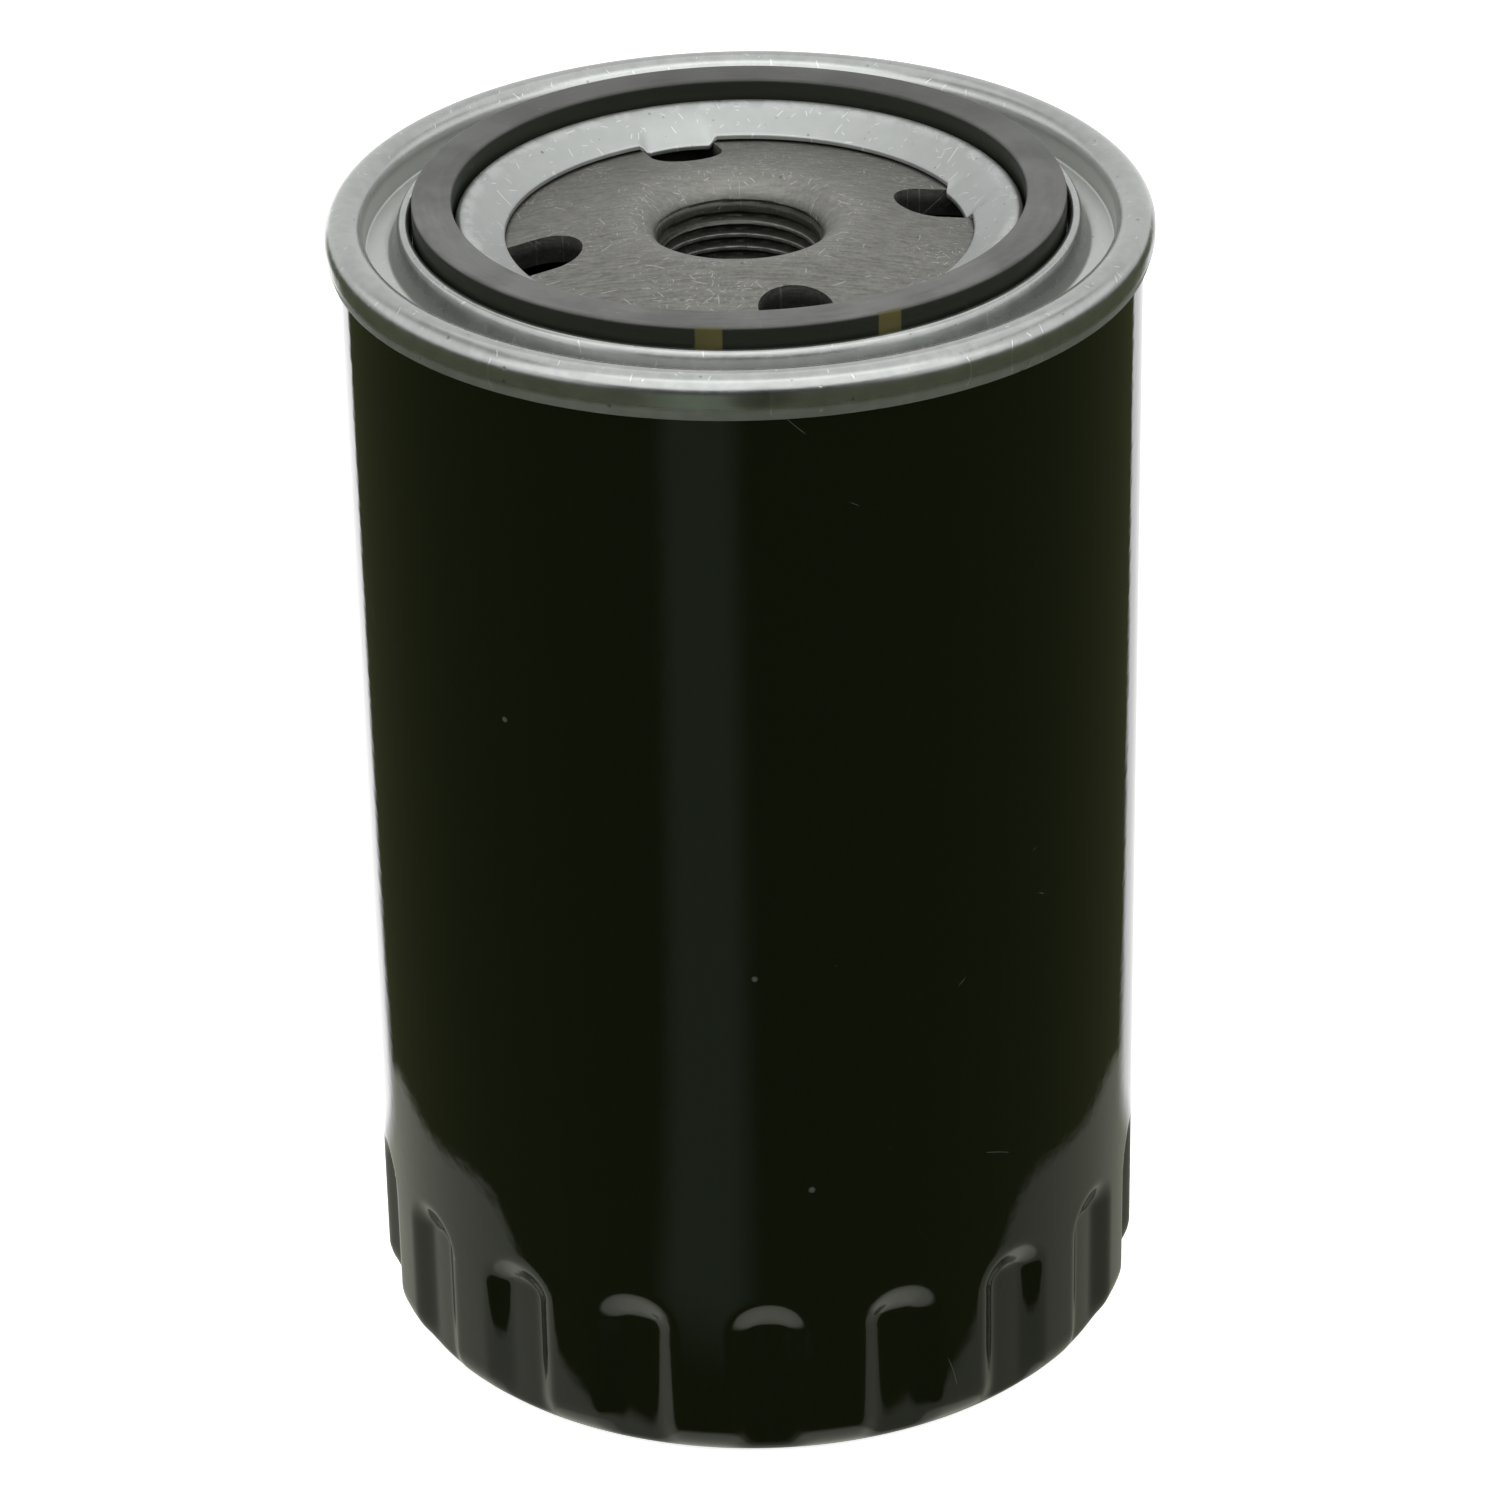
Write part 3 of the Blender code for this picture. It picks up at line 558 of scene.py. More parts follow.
def paper():
    """Brown filter paper: mottled fibre with fine cross ribs and a soft matt surface."""
    made, tree = new_material("filter_paper_brown")
    at = on_surface(tree)
    fibre = effect(tree, CLOUDS, Vector=at["plan"], Size=1.1, Contrast=1.6)
    patch = effect(tree, CLOUDS, Vector=at["plan"], Size=14.0, Contrast=1.2)
    rib = calc(tree, "SINE", times(tree, at["height"], 2.4))
    colour = blended(tree, fibre, (0.52, 0.33, 0.13), (0.74, 0.53, 0.27))
    colour = blended(tree, times(tree, patch, 0.35), colour, (0.45, 0.27, 0.10))
    height = calc(tree, "MULTIPLY_ADD", fibre, 0.5, rib)
    rise = add(tree, "ShaderNodeBump", {"Height": height, "Strength": 0.25, "Distance": 0.0002})
    shader = {"Base Color": colour, "Roughness": 0.88, "Normal": rise.outputs[0]}
    close_material(tree, add(tree, "ShaderNodeBsdfPrincipled", shader))
    return made


pleats = grown("folded_paper", pleat_tree(), {**PLEATS, "Material": paper()}, crease_deg=50)
finished(pleats, None, "element", "pleated_media", slot="filter_paper")


def clip_strip():
    """The bent strip over the paper's two ends, one pleat round from the first."""
    work = bmesh.new()
    turn = 2 * pi / PLEATS["Pleats"]
    rails = []
    for away, across in ((31.2, 0.30), (31.2, -0.02), (36.3, -0.02), (36.3, 0.30)):
        x = away * cos(turn) - across * sin(turn)
        y = away * sin(turn) + across * cos(turn)
        rails.append([work.verts.new((x * MM, y * MM, z * MM)) for z in (20.0, 118.6)])
    for first, second in zip(rails, rails[1:]):
        work.faces.new((first[0], second[0], second[1], first[1]))
    mesh = bpy.data.meshes.new("clip")
    work.to_mesh(mesh)
    work.free()
    return mesh


clip = thickened("paper_clip", clip_strip(), 0.22, soft=0.04)
finished(clip, tinplate, "element", "media_clip", slot="cap_steel")

# ---- The centre tube ------------------------------------------------------------------------
# Steel strip punched with rows of round holes and rolled into a tube. It keeps the paper from
# collapsing under the oil's pressure, and the filtered oil leaves through its bore.

TUBE = {
    "Around": 14,
    "Along": 15,
    "Tube radius": 16.2 * MM,
    "Wall": 0.6 * MM,
    "Hole": 2.5 * MM,
    "Low": 18.0 * MM,
    "High": 120.6 * MM,
}


def punched_tree():
    """A cell with a round hole, repeated over a flat strip, wrapped into a tube and thickened."""
    inputs = [("Around", "Int", None), ("Along", "Int", None)]
    inputs += [(name, "Float", None) for name in list(TUBE)[2:]] + [("Material", "Material", None)]
    tree, given, result = named_tree("punched_tube", "GeometryNodeTree", inputs, [("Geometry", "Geometry")])
    wide = calc(tree, "DIVIDE", times(tree, given["Tube radius"], 2 * pi), given["Around"])
    tall = calc(tree, "DIVIDE", calc(tree, "SUBTRACT", given["High"], given["Low"]), given["Along"])
    square = add(tree, "GeometryNodeCurvePrimitiveQuadrilateral", {"Width": wide, "Height": tall})
    square = add(tree, "GeometryNodeSubdivideCurve", {"Curve": square.outputs[0], "Cuts": 3}).outputs[0]
    punch = {"Resolution": 16, "Radius": given["Hole"]}
    hole = add(tree, "GeometryNodeCurvePrimitiveCircle", punch, mode="RADIUS")
    both = add(tree, "GeometryNodeJoinGeometry")
    tree.links.new(square, both.inputs[0])
    tree.links.new(hole.outputs[0], both.inputs[0])
    cell = add(tree, "GeometryNodeFillCurve", {"Curve": both.outputs[0]}).outputs[0]
    span_x = times(tree, wide, calc(tree, "SUBTRACT", given["Around"], 1.0))
    span_y = times(tree, tall, calc(tree, "SUBTRACT", given["Along"], 1.0))
    grid = {"Size X": span_x, "Size Y": span_y, "Vertices X": given["Around"], "Vertices Y": given["Along"]}
    spots = add(tree, "GeometryNodeMeshGrid", grid).outputs[0]
    strip = add(tree, "GeometryNodeInstanceOnPoints", {"Points": spots, "Instance": cell}).outputs[0]
    strip = add(tree, "GeometryNodeRealizeInstances", {0: strip}).outputs[0]
    place = add(tree, "GeometryNodeInputPosition").outputs[0]
    x, y, _ = add(tree, "ShaderNodeSeparateXYZ", {0: place}).outputs
    turn = calc(tree, "DIVIDE", x, given["Tube radius"])
    middle = times(tree, calc(tree, "ADD", given["Low"], given["High"]), 0.5)
    wrapped = {
        0: times(tree, calc(tree, "COSINE", turn), given["Tube radius"]),
        1: times(tree, calc(tree, "SINE", turn), given["Tube radius"]),
        2: calc(tree, "ADD", y, middle),
    }
    spot = add(tree, "ShaderNodeCombineXYZ", wrapped).outputs[0]
    tube = add(tree, "GeometryNodeSetPosition", {"Geometry": strip, "Position": spot}).outputs[0]
    tube = add(tree, "GeometryNodeMergeByDistance", {"Geometry": tube, "Distance": 0.02 * MM}).outputs[0]
    grow = {"Mesh": tube, "Offset Scale": given["Wall"], "Individual": False}
    wall = add(tree, "GeometryNodeExtrudeMesh", grow).outputs[0]
    inside = add(tree, "GeometryNodeFlipFaces", {0: tube}).outputs[0]
    shell = add(tree, "GeometryNodeJoinGeometry")
    tree.links.new(wall, shell.inputs[0])
    tree.links.new(inside, shell.inputs[0])
    closed = {"Geometry": shell.outputs[0], "Distance": 0.01 * MM}
    end_tree(tree, given, result, add(tree, "GeometryNodeMergeByDistance", closed).outputs[0])
    return tree


punched_steel = plain("punched_tube_steel", (0.46, 0.45, 0.43), 0.34, 1.0, cloud=0.15, size=7.0)
tube = grown("punched_tube", punched_tree(), {**TUBE, "Material": punched_steel})
finished(tube, None, "element", "centre_tube", slot="tube_steel")

# ---- The bypass valve -----------------------------------------------------------------------
# A rubber washer, a plated steel poppet, its coil spring and a stamped cage, crimped over the
# lower cap's neck. It lets oil round a clogged paper: the poppet lifts against its spring.

washer = rounded([(7.0, 19.3, 0.25), (7.0, 20.9, 0.25), (11.0, 20.9, 0.25), (11.0, 19.3, 0.25)])
washer_rubber = plain("washer_rubber", (0.018, 0.018, 0.019), 0.55, 0.0, bump=0.06)
washer = spun("bypass_washer", washer, 96)
finished(washer, washer_rubber, "element", "bypass_seat", slot="membrane_rubber")

passivated = plain("yellow_passivated_steel", (0.56, 0.47, 0.25), 0.30, 1.0, cloud=0.16, size=5.0)
disc = [(0, 21.2, 0), (8.3, 21.2, 0.25), (8.3, 22.2, 0.25), (2.2, 22.2, 0.4), (2.2, 23.7, 0.2)]
disc += [(1.6, 24.2, 0.2), (1.6, 39.2, 0.5), (0, 40.0, 0)]
poppet = spun("valve_poppet", rounded(disc), 96)
finished(poppet, passivated, "poppet", "bypass_poppet", slot="valve_steel")

COIL = {
    "Coils": 5.0,
    "Coil radius": 5.2 * MM,
    "Wire": 0.55 * MM,
    "Low": 23.05 * MM,
    "High": 32.55 * MM,
}


def coil_tree():
    """A compression spring: a helix with closed ends, swept with round wire."""
    inputs = [(name, "Float", None) for name in COIL] + [("Material", "Material", None)]
    tree, given, result = named_tree("coil_spring", "GeometryNodeTree", inputs, [("Geometry", "Geometry")])
    line = add(tree, "GeometryNodeCurvePrimitiveLine")
    path = add(tree, "GeometryNodeResampleCurve", {"Curve": line.outputs[0], "Count": 200}).outputs[0]
    share = calc(tree, "DIVIDE", add(tree, "GeometryNodeInputIndex").outputs[0], 199.0)
    turn = times(tree, share, times(tree, given["Coils"], 2 * pi))
    rise = calc(tree, "MULTIPLY_ADD", share, 1.28, -0.14, clamp=True)
    tall = calc(tree, "SUBTRACT", given["High"], given["Low"])
    spot = {
        0: times(tree, calc(tree, "COSINE", turn), given["Coil radius"]),
        1: times(tree, calc(tree, "SINE", turn), given["Coil radius"]),
        2: calc(tree, "MULTIPLY_ADD", rise, tall, given["Low"]),
    }
    helix = {"Geometry": path, "Position": add(tree, "ShaderNodeCombineXYZ", spot).outputs[0]}
    helix = add(tree, "GeometryNodeSetPosition", helix).outputs[0]
    round_wire = add(tree, "GeometryNodeCurvePrimitiveCircle", {"Resolution": 12, "Radius": given["Wire"]})
    swept = {"Curve": helix, "Profile Curve": round_wire.outputs[0], "Fill Caps": True}
    end_tree(tree, given, result, add(tree, "GeometryNodeCurveToMesh", swept).outputs[0])
    return tree


coil = grown("valve_spring", coil_tree(), {**COIL, "Material": spring_steel})
finished(coil, None, "element", "bypass_spring", slot="spring_steel")
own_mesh(coil)

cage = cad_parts["bypass_cage"]
cage.data.materials.clear()
cage.data.materials.append(tinplate)

# ---- The element's upper end cap ------------------------------------------------------------
# The same tinplate cup turned over, with a plain hole for the filtered oil. It is bonded to the
# paper and the centre tube by its own ring of plastisol.

cup = [(13.2, 123.0, 0.1), (13.2, 123.6, 0.1), (40.0, 123.6, 0.9), (40.0, 119.1, 0.1), (39.4, 119.1, 0.1)]
cup += [(39.4, 123.0, 0.5)]
high_cap = spun("upper_end_cap", rounded(cup), 216)
finished(high_cap, tinplate, "element", "top_end_cap", slot="cap_steel")

glue = rounded([(16.2, 120.9, 0.7), (16.2, 122.7, 0.2), (39.1, 122.7, 0.2), (39.1, 120.9, 0.7)])
high_glue = spun("upper_plastisol", glue, 216)
finished(high_glue, plastisol_green, "element", "top_adhesive", slot="plastisol")

# ---- The drainback membrane -----------------------------------------------------------------
# Moulded black rubber: a collar that seals the hub of the threaded plate and a thin lip that
# rests under the inlet holes. It keeps the oil in the filter when the engine stops.

lip = [(12.5, 123.9, 0.3), (12.5, 133.5, 0.4), (13.8, 133.5, 0.5), (14.0, 131.3, 1.2), (20.0, 130.6, 2.0)]
lip += [(27.0, 131.6, 2.0), (31.8, 132.65, 0.2), (32.0, 131.85, 0.2), (27.0, 130.2, 2.0), (20.0, 129.2, 2.0)]
lip += [(14.1, 129.4, 1.0), (14.1, 127.2, 0.8), (17.0, 125.1, 0.6), (17.0, 123.9, 0.2)]
membrane = spun("drainback_membrane", rounded(lip), 180)
membrane_rubber = plain("membrane_rubber", (0.016, 0.016, 0.017), 0.5, 0.0, bump=0.05)
finished(membrane, membrane_rubber, "membrane", "drainback_valve", slot="membrane_rubber")
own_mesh(membrane)

# ---- The threaded plate ---------------------------------------------------------------------
# Thick steel plate, pressed into a low dome, punched with four inlet slots and drawn down in the
# middle into a hub. The hub is tapped 3/4-16 UNF, and the plate is left as bare oiled steel.

PLATE_STEPS = 288
INLET_TURNS = [15.5 + 90.0 * number for number in range(4)]
THREAD = {
    "Pitch": 1.5875 * MM,
    "Minor radius": 8.78 * MM,
    "Major radius": 9.56 * MM,
    "Phase": 0.35,
}


def thread_tree():
    """Cuts a right-hand thread into the tagged bore of a turned part."""
    inputs = [("Geometry", "Geometry", None)] + [(name, "Float", None) for name in THREAD]
    inputs += [("Material", "Material", None)]
    tree, given, result = named_tree("tapped_thread", "GeometryNodeTree", inputs, [("Geometry", "Geometry")])
    place = add(tree, "GeometryNodeInputPosition").outputs[0]
    x, y, z = add(tree, "ShaderNodeSeparateXYZ", {0: place}).outputs
    away = from_axis(tree, x, y)
    lead = calc(tree, "DIVIDE", calc(tree, "ARCTAN2", y, x), 2 * pi)
    share = calc(tree, "SUBTRACT", calc(tree, "DIVIDE", z, given["Pitch"]), lead)
    share = calc(tree, "ADD", share, given["Phase"])
    flank = calc(tree, "ABSOLUTE", calc(tree, "MULTIPLY_ADD", calc(tree, "FRACT", share), 2.0, -1.0))
    cut = calc(tree, "MULTIPLY_ADD", flank, 1.7, -0.38, clamp=True)
    deep = calc(tree, "SUBTRACT", given["Major radius"], given["Minor radius"])
    wall = calc(tree, "MULTIPLY_ADD", cut, deep, given["Minor radius"])
    tag = add(tree, "GeometryNodeInputNamedAttribute", {"Name": "tag"}, data_type="FLOAT").outputs[0]
    opened = times(tree, calc(tree, "SUBTRACT", calc(tree, "MAXIMUM", away, wall), away), tag)
    ratio = calc(tree, "DIVIDE", calc(tree, "ADD", away, opened), away)
    moved = {0: times(tree, x, ratio), 1: times(tree, y, ratio), 2: z}
    spot = add(tree, "ShaderNodeCombineXYZ", moved).outputs[0]
    shape = add(tree, "GeometryNodeSetPosition", {"Geometry": given["Geometry"], "Position": spot}).outputs[0]
    end_tree(tree, given, result, shape)
    return tree


def plate_outline():
    """Rim, dome, rounded mouth, bore and hub; the bore's points are tagged for the thread."""
    dome = [(36.8, 133.2), (36.75, 135.8), (36.4, 135.95), (29.2, 135.97), (28.0, 136.25)]
    dome += split([(28.0, 136.25), (18.34, 137.99)], 0.8)[1:]
    dome += [(17.4, 138.16), (16.2, 138.42), (15.0, 138.66), (14.1, 138.82)]
    mouth = arc(13.3, 134.6, 4.3, 90, 180, 56)
    bore = split([(9.0, 134.6), (8.78, 133.9), (8.78, 127.9)], 0.075)[1:]
    hub = [(9.2, 127.5), (11.9, 127.5), (12.2, 127.8), (12.2, 134.0), (12.8, 134.8), (14.6, 135.3)]
    hub += [(22.0, 134.13), (29.5, 132.95), (36.5, 132.95)]
    line = dome + mouth + bore + hub
    return line, [0.0] * len(dome) + [1.0] * (len(mouth) + len(bore)) + [0.0] * len(hub)


def inlet_cutter(turn_deg):
    """A slot with round ends, standing through the plate."""
    work = bmesh.new()
    half = 4.18
    ends = arc(26.0, 0, half, -90, 90, 24) + arc(22.5, 0, half, 90, 270, 24)
    base = work.faces.new([work.verts.new((x * MM, y * MM, 126 * MM)) for x, y in ends])
    top = bmesh.ops.extrude_face_region(work, geom=[base])["geom"]
    raised = [part for part in top if isinstance(part, bmesh.types.BMVert)]
    bmesh.ops.translate(work, vec=(0, 0, 16 * MM), verts=raised)
    bmesh.ops.rotate(work, matrix=Matrix.Rotation(radians(turn_deg), 3, "Z"), verts=work.verts)
    mesh = bpy.data.meshes.new("inlet_cutter")
    work.to_mesh(mesh)
    work.free()
    return placed("inlet_cutter", mesh)


def bare_steel():
    """Oiled mill steel: rolled grain, fine flecks and scratches, rubbed a little brighter at the mouth;
    painted shade in the bore and slots.
    """
    made, tree = new_material("bare_plate_steel")
    at = on_surface(tree, 22.0)
    grain = ease(tree, effect(tree, CLOUDS, Vector=at["plan"], Size=0.5, Contrast=1.8), 0.25, 0.75)
    cloud = effect(tree, CLOUDS, Vector=at["plan"], Size=9.0, Contrast=1.5)
    along = {"Vector": at["plan"], "Rotation": (0.0, 0.0, 1.05), "Scale": (0.12, 1.0, 1.0)}
    along = add(tree, "ShaderNodeMapping", along).outputs[0]
    rolled = ease(tree, effect(tree, CLOUDS, Vector=along, Size=0.4, Contrast=2.0), 0.2, 0.8)
    rolled = calc(tree, "MULTIPLY_ADD", rolled, 0.65, times(tree, grain, 0.35))
    hairs = effect(tree, SCRATCHES, Vector=at["plan"], Cell=1.4, Width=0.08, Share=0.7)
    flecks = effect(tree, SCRATCHES, Vector=at["unrolled"], Cell=0.9, Width=0.08, Share=0.6)
    cuts = effect(tree, SCRATCHES, Vector=at["plan"], Cell=3.2, Width=0.12, Share=0.5)
    specks = effect(tree, SPECKS, Vector=at["plan"], Cell=2.2, Share=0.25)
    patch = ease(tree, effect(tree, CLOUDS, Vector=at["plan"], Size=9.0, Contrast=2.4), 0.35, 0.7)
    mouth = ease(tree, at["radius"], 16.5, 11.0)
    # Painted shade: the tapped bore goes dark below its mouth, most in the thread's grooves and little on its
    # crests.
    bore = times(tree, ease(tree, at["radius"], 10.6, 9.8), ease(tree, at["height"], 137.6, 135.8))
    bore = times(tree, bore, ease(tree, at["radius"], 8.80, 8.98, 0.10, 1.0))
    # Painted shade: the walls of the inlet slots and the plate's underside below them are darkened.
    below = calc(tree, "SUBTRACT", calc(tree, "MULTIPLY_ADD", at["radius"], -0.185, 141.4), at["height"])
    inlet = times(tree, ease(tree, below, 0.4, 1.8), ease(tree, at["radius"], 14.0, 15.5))
    fine = times(tree, calc(tree, "MAXIMUM", hairs, flecks), calc(tree, "MAXIMUM", patch, mouth))
    scored = calc(tree, "MAXIMUM", fine, times(tree, cuts, 0.7))
    colour = blended(tree, cloud, (0.100, 0.099, 0.087), (0.145, 0.144, 0.130))
    colour = blended(tree, times(tree, rolled, 0.42), colour, (0.32, 0.32, 0.30))
    colour = blended(tree, times(tree, mouth, 0.25), colour, (0.32, 0.32, 0.30))
    colour = blended(tree, times(tree, scored, 0.55), colour, (0.60, 0.60, 0.58))
    colour = blended(tree, times(tree, specks, 0.5), colour, (0.06, 0.06, 0.05))
    # Painted shade from the bore and inlet masks: the colour goes near black there.
    shaded = calc(tree, "MAXIMUM", times(tree, bore, 0.85), times(tree, inlet, 0.7))
    colour = blended(tree, shaded, colour, (0.016, 0.017, 0.012))
    rough = calc(tree, "MULTIPLY_ADD", cloud, 0.10, calc(tree, "MULTIPLY_ADD", mouth, 0.08, 0.44))
    high = calc(tree, "SUBTRACT", times(tree, rolled, 0.35), scored)
    rise = add(tree, "ShaderNodeBump", {"Height": high, "Strength": 0.3, "Distance": 0.0002})
    shader = {"Base Color": colour, "Metallic": 0.92, "Roughness": rough, "Normal": rise.outputs[0]}
    close_material(tree, add(tree, "ShaderNodeBsdfPrincipled", shader))
    return made


outline, tags = plate_outline()
blank = spun("plate_base", outline, PLATE_STEPS, tags=tags)
plate = grown("tapped_plate", thread_tree(), {**THREAD, "Material": bare_steel()}, blank)
for turn_deg in INLET_TURNS:
    cutter = inlet_cutter(turn_deg)
    cut = plate.modifiers.new("inlet", "BOOLEAN")
    cut.operation = "DIFFERENCE"
    cut.solver = "EXACT"
    cut.object = cutter
    punched = bpy.data.meshes.new_from_object(plate.evaluated_get(bpy.context.evaluated_depsgraph_get()))
    plate.modifiers.clear()
    plate.data = punched
    bpy.data.objects.remove(cutter)
plate.data.shade_smooth()
plate.data.set_sharp_from_angle(angle=radians(38))
finished(plate, None, "housing", "threaded_plate", slot="plate_steel")

# ---- The lid --------------------------------------------------------------------------------
# Galvanised sheet, pressed with a channel for the sealing ring and spot-fixed over the threaded
# plate, its inner edge staked down into two inlets. Its outer edge is rolled over the can's lip.

LID_STEPS = 480


def lid_outline():
    """From the inner edge over the shoulder, channel, ridge, valley and roll, and back underneath."""
    top = [(26.35, 136.78, 0.1), (26.35, 137.35, 0.22), (30.75, 139.86, 1.1), (31.9, 139.5, 0.9)]
    top += [(31.9, 136.9, 0.3), (37.0, 136.9, 0.3), (37.1, 139.64, 0.55), (38.05, 139.66, 0.5)]
    top += [(38.4, 139.0, 0.35), (38.75, 137.9, 0.6), (39.25, 136.1, 0.55), (39.9, 135.9, 0.5)]
    top += [(42.14, 135.95, 0.28)]
    roll = arc(44.4, 138.05, 2.24, 180, 0, 28)
    edge = [(46.64, 136.75, 0.6), (46.12, 135.22, 0.3), (45.8, 135.3, 0.2), (45.95, 136.2, 0.3)]
    under = arc(44.4, 138.05, 1.62, 0, 180, 14)
    back = [(42.76, 135.0, 0.6), (39.3, 135.0, 0.5), (38.1, 136.3, 0.5), (31.3, 136.3, 0.4)]
    back += [(31.3, 138.7, 0.5), (30.3, 139.1, 0.6)]
    corners = top + [(r, z, 0) for r, z in roll] + edge + [(r, z, 0) for r, z in under] + back
    line = rounded(corners, 6)
    cone_start = max(i for i, point in enumerate(line) if point[0] < 27.0)
    cone = split(line[cone_start : cone_start + 2], 0.35)
    return line[:cone_start] + cone + line[cone_start + 2 :]


def stake(point, turn_deg):
    """Where a point of the lid goes when the punch presses its inner edge into an inlet."""
    turn = atan2(point.y, point.x) - radians(turn_deg)
    away = hypot(point.x, point.y)
    across = abs(away * sin(turn)) / MM
    if cos(turn) < 0 or across > 5.2 or away > 30.0 * MM:
        return point
    inward = min(1.0, max(0.0, (29.9 - away / MM) / 3.4))
    soft = 2.6 - 1.7 * inward
    side = min(1.0, max(0.0, (4.6 - across) / soft))
    amount = side * side * (3 - 2 * side) * inward * inward * (3 - 2 * inward)
    swell = 0.28 * inward * (1 - inward) * side
    drop = (0.75 * amount * (1 + 0.2 * (across / 4.2) ** 2) - swell) * MM
    pull = (away - 0.6 * amount * MM) / away
    return Vector((point.x * pull, point.y * pull, point.z - drop))


def zinc_sheet():
    """Galvanised sheet: mottled zinc, pits, bright scratches, a worn shoulder and an oily smudge."""
    made, tree = new_material("galvanised_sheet")
    at = on_surface(tree, 40.0)
    x, y, z = add(tree, "ShaderNodeSeparateXYZ", {0: at["plan"]}).outputs
    collar = ease(tree, at["radius"], 36.0, 33.0)
    valley = times(tree, ease(tree, at["radius"], 38.4, 39.6), ease(tree, at["radius"], 42.8, 42.2))
    cut_edge = times(tree, ease(tree, z, 137.1, 136.3), ease(tree, at["radius"], 45.4, 45.7))
    cloud = ease(tree, effect(tree, CLOUDS, Vector=at["plan"], Size=1.9, Contrast=1.8), 0.10, 0.90)
    wide = effect(tree, CLOUDS, Vector=at["plan"], Size=14.0, Contrast=1.6)
    grain = effect(tree, CLOUDS, Vector=at["plan"], Size=0.4, Contrast=1.8)
    pits = effect(tree, SPECKS, Vector=at["plan"], Cell=1.5, Share=0.5)
    large_pits = effect(tree, SPECKS, Vector=at["plan"], Cell=2.9, Share=0.32)
    hairs = effect(tree, SCRATCHES, Vector=at["plan"], Cell=1.7, Width=0.09, Share=0.45)
    cuts = effect(tree, SCRATCHES, Vector=at["plan"], Cell=4.2, Width=0.12, Share=0.35)
    nicks = effect(tree, SCRATCHES, Vector=at["plan"], Cell=1.1, Width=0.10, Share=0.22)
    scored = times(tree, calc(tree, "MAXIMUM", hairs, cuts), collar)
    scored = calc(tree, "MAXIMUM", scored, times(tree, nicks, 0.7))
    near = calc(tree, "ABSOLUTE", calc(tree, "SUBTRACT", at["radius"], 30.6))
    worn = times(tree, ease(tree, near, 1.3, 0.2), ease(tree, cloud, 0.3, 0.7))
    aside = calc(tree, "POWER", calc(tree, "DIVIDE", calc(tree, "SUBTRACT", x, 2.0), 4.2), 2.0)
    above = calc(tree, "POWER", calc(tree, "DIVIDE", calc(tree, "SUBTRACT", z, 138.0), 1.35), 2.0)
    smudge = ease(tree, calc(tree, "ADD", aside, above), 1.2, 0.0)
    smudge = times(tree, smudge, calc(tree, "LESS_THAN", y, -43.0))
    colour = blended(tree, cloud, (0.335, 0.350, 0.340), (0.395, 0.407, 0.397))
    colour = blended(tree, times(tree, wide, 0.4), colour, (0.31, 0.32, 0.305))
    colour = blended(tree, times(tree, collar, 0.4), colour, (0.44, 0.46, 0.45))
    colour = blended(tree, times(tree, valley, 0.5), colour, (0.62, 0.625, 0.60))
    bare = times(tree, calc(tree, "MAXIMUM", scored, times(tree, worn, 0.25)), 0.6)
    colour = blended(tree, bare, colour, (0.78, 0.79, 0.78))
    dirt = calc(tree, "MAXIMUM", times(tree, pits, 0.45), times(tree, large_pits, 0.6))
    colour = blended(tree, dirt, colour, (0.10, 0.10, 0.09))
    colour = blended(tree, times(tree, smudge, 0.45), colour, (0.035, 0.037, 0.034))
    rough = calc(tree, "MULTIPLY_ADD", collar, 0.24, calc(tree, "MULTIPLY_ADD", valley, 0.18, 0.20))
    rough = calc(tree, "ADD", calc(tree, "MULTIPLY_ADD", cloud, 0.05, rough), times(tree, dirt, 0.15))
    rough = calc(tree, "MULTIPLY_ADD", cut_edge, 0.35, rough)
    high = calc(tree, "SUBTRACT", times(tree, grain, 0.3), scored)
    high = calc(tree, "SUBTRACT", high, times(tree, pits, 0.8))
    bump = add(tree, "ShaderNodeBump", {"Height": high, "Strength": 0.09, "Distance": 0.0002})
    shader = {"Base Color": colour, "Metallic": 0.95, "Roughness": rough, "Normal": bump.outputs[0]}
    close_material(tree, add(tree, "ShaderNodeBsdfPrincipled", shader))
    return made


lid = spun("rolled_lid", lid_outline(), LID_STEPS)
for vertex in lid.data.vertices:
    for turn_deg in INLET_TURNS[:2]:
        vertex.co = stake(vertex.co, turn_deg)
finished(lid, zinc_sheet(), "housing", "seam_lid", slot="galvanised_sheet")

# ---- The sealing ring -----------------------------------------------------------------------
# A moulded black rubber gasket of rectangular section, pressed into the lid's channel. It has two
# short marks of olive paint on its outer wall.


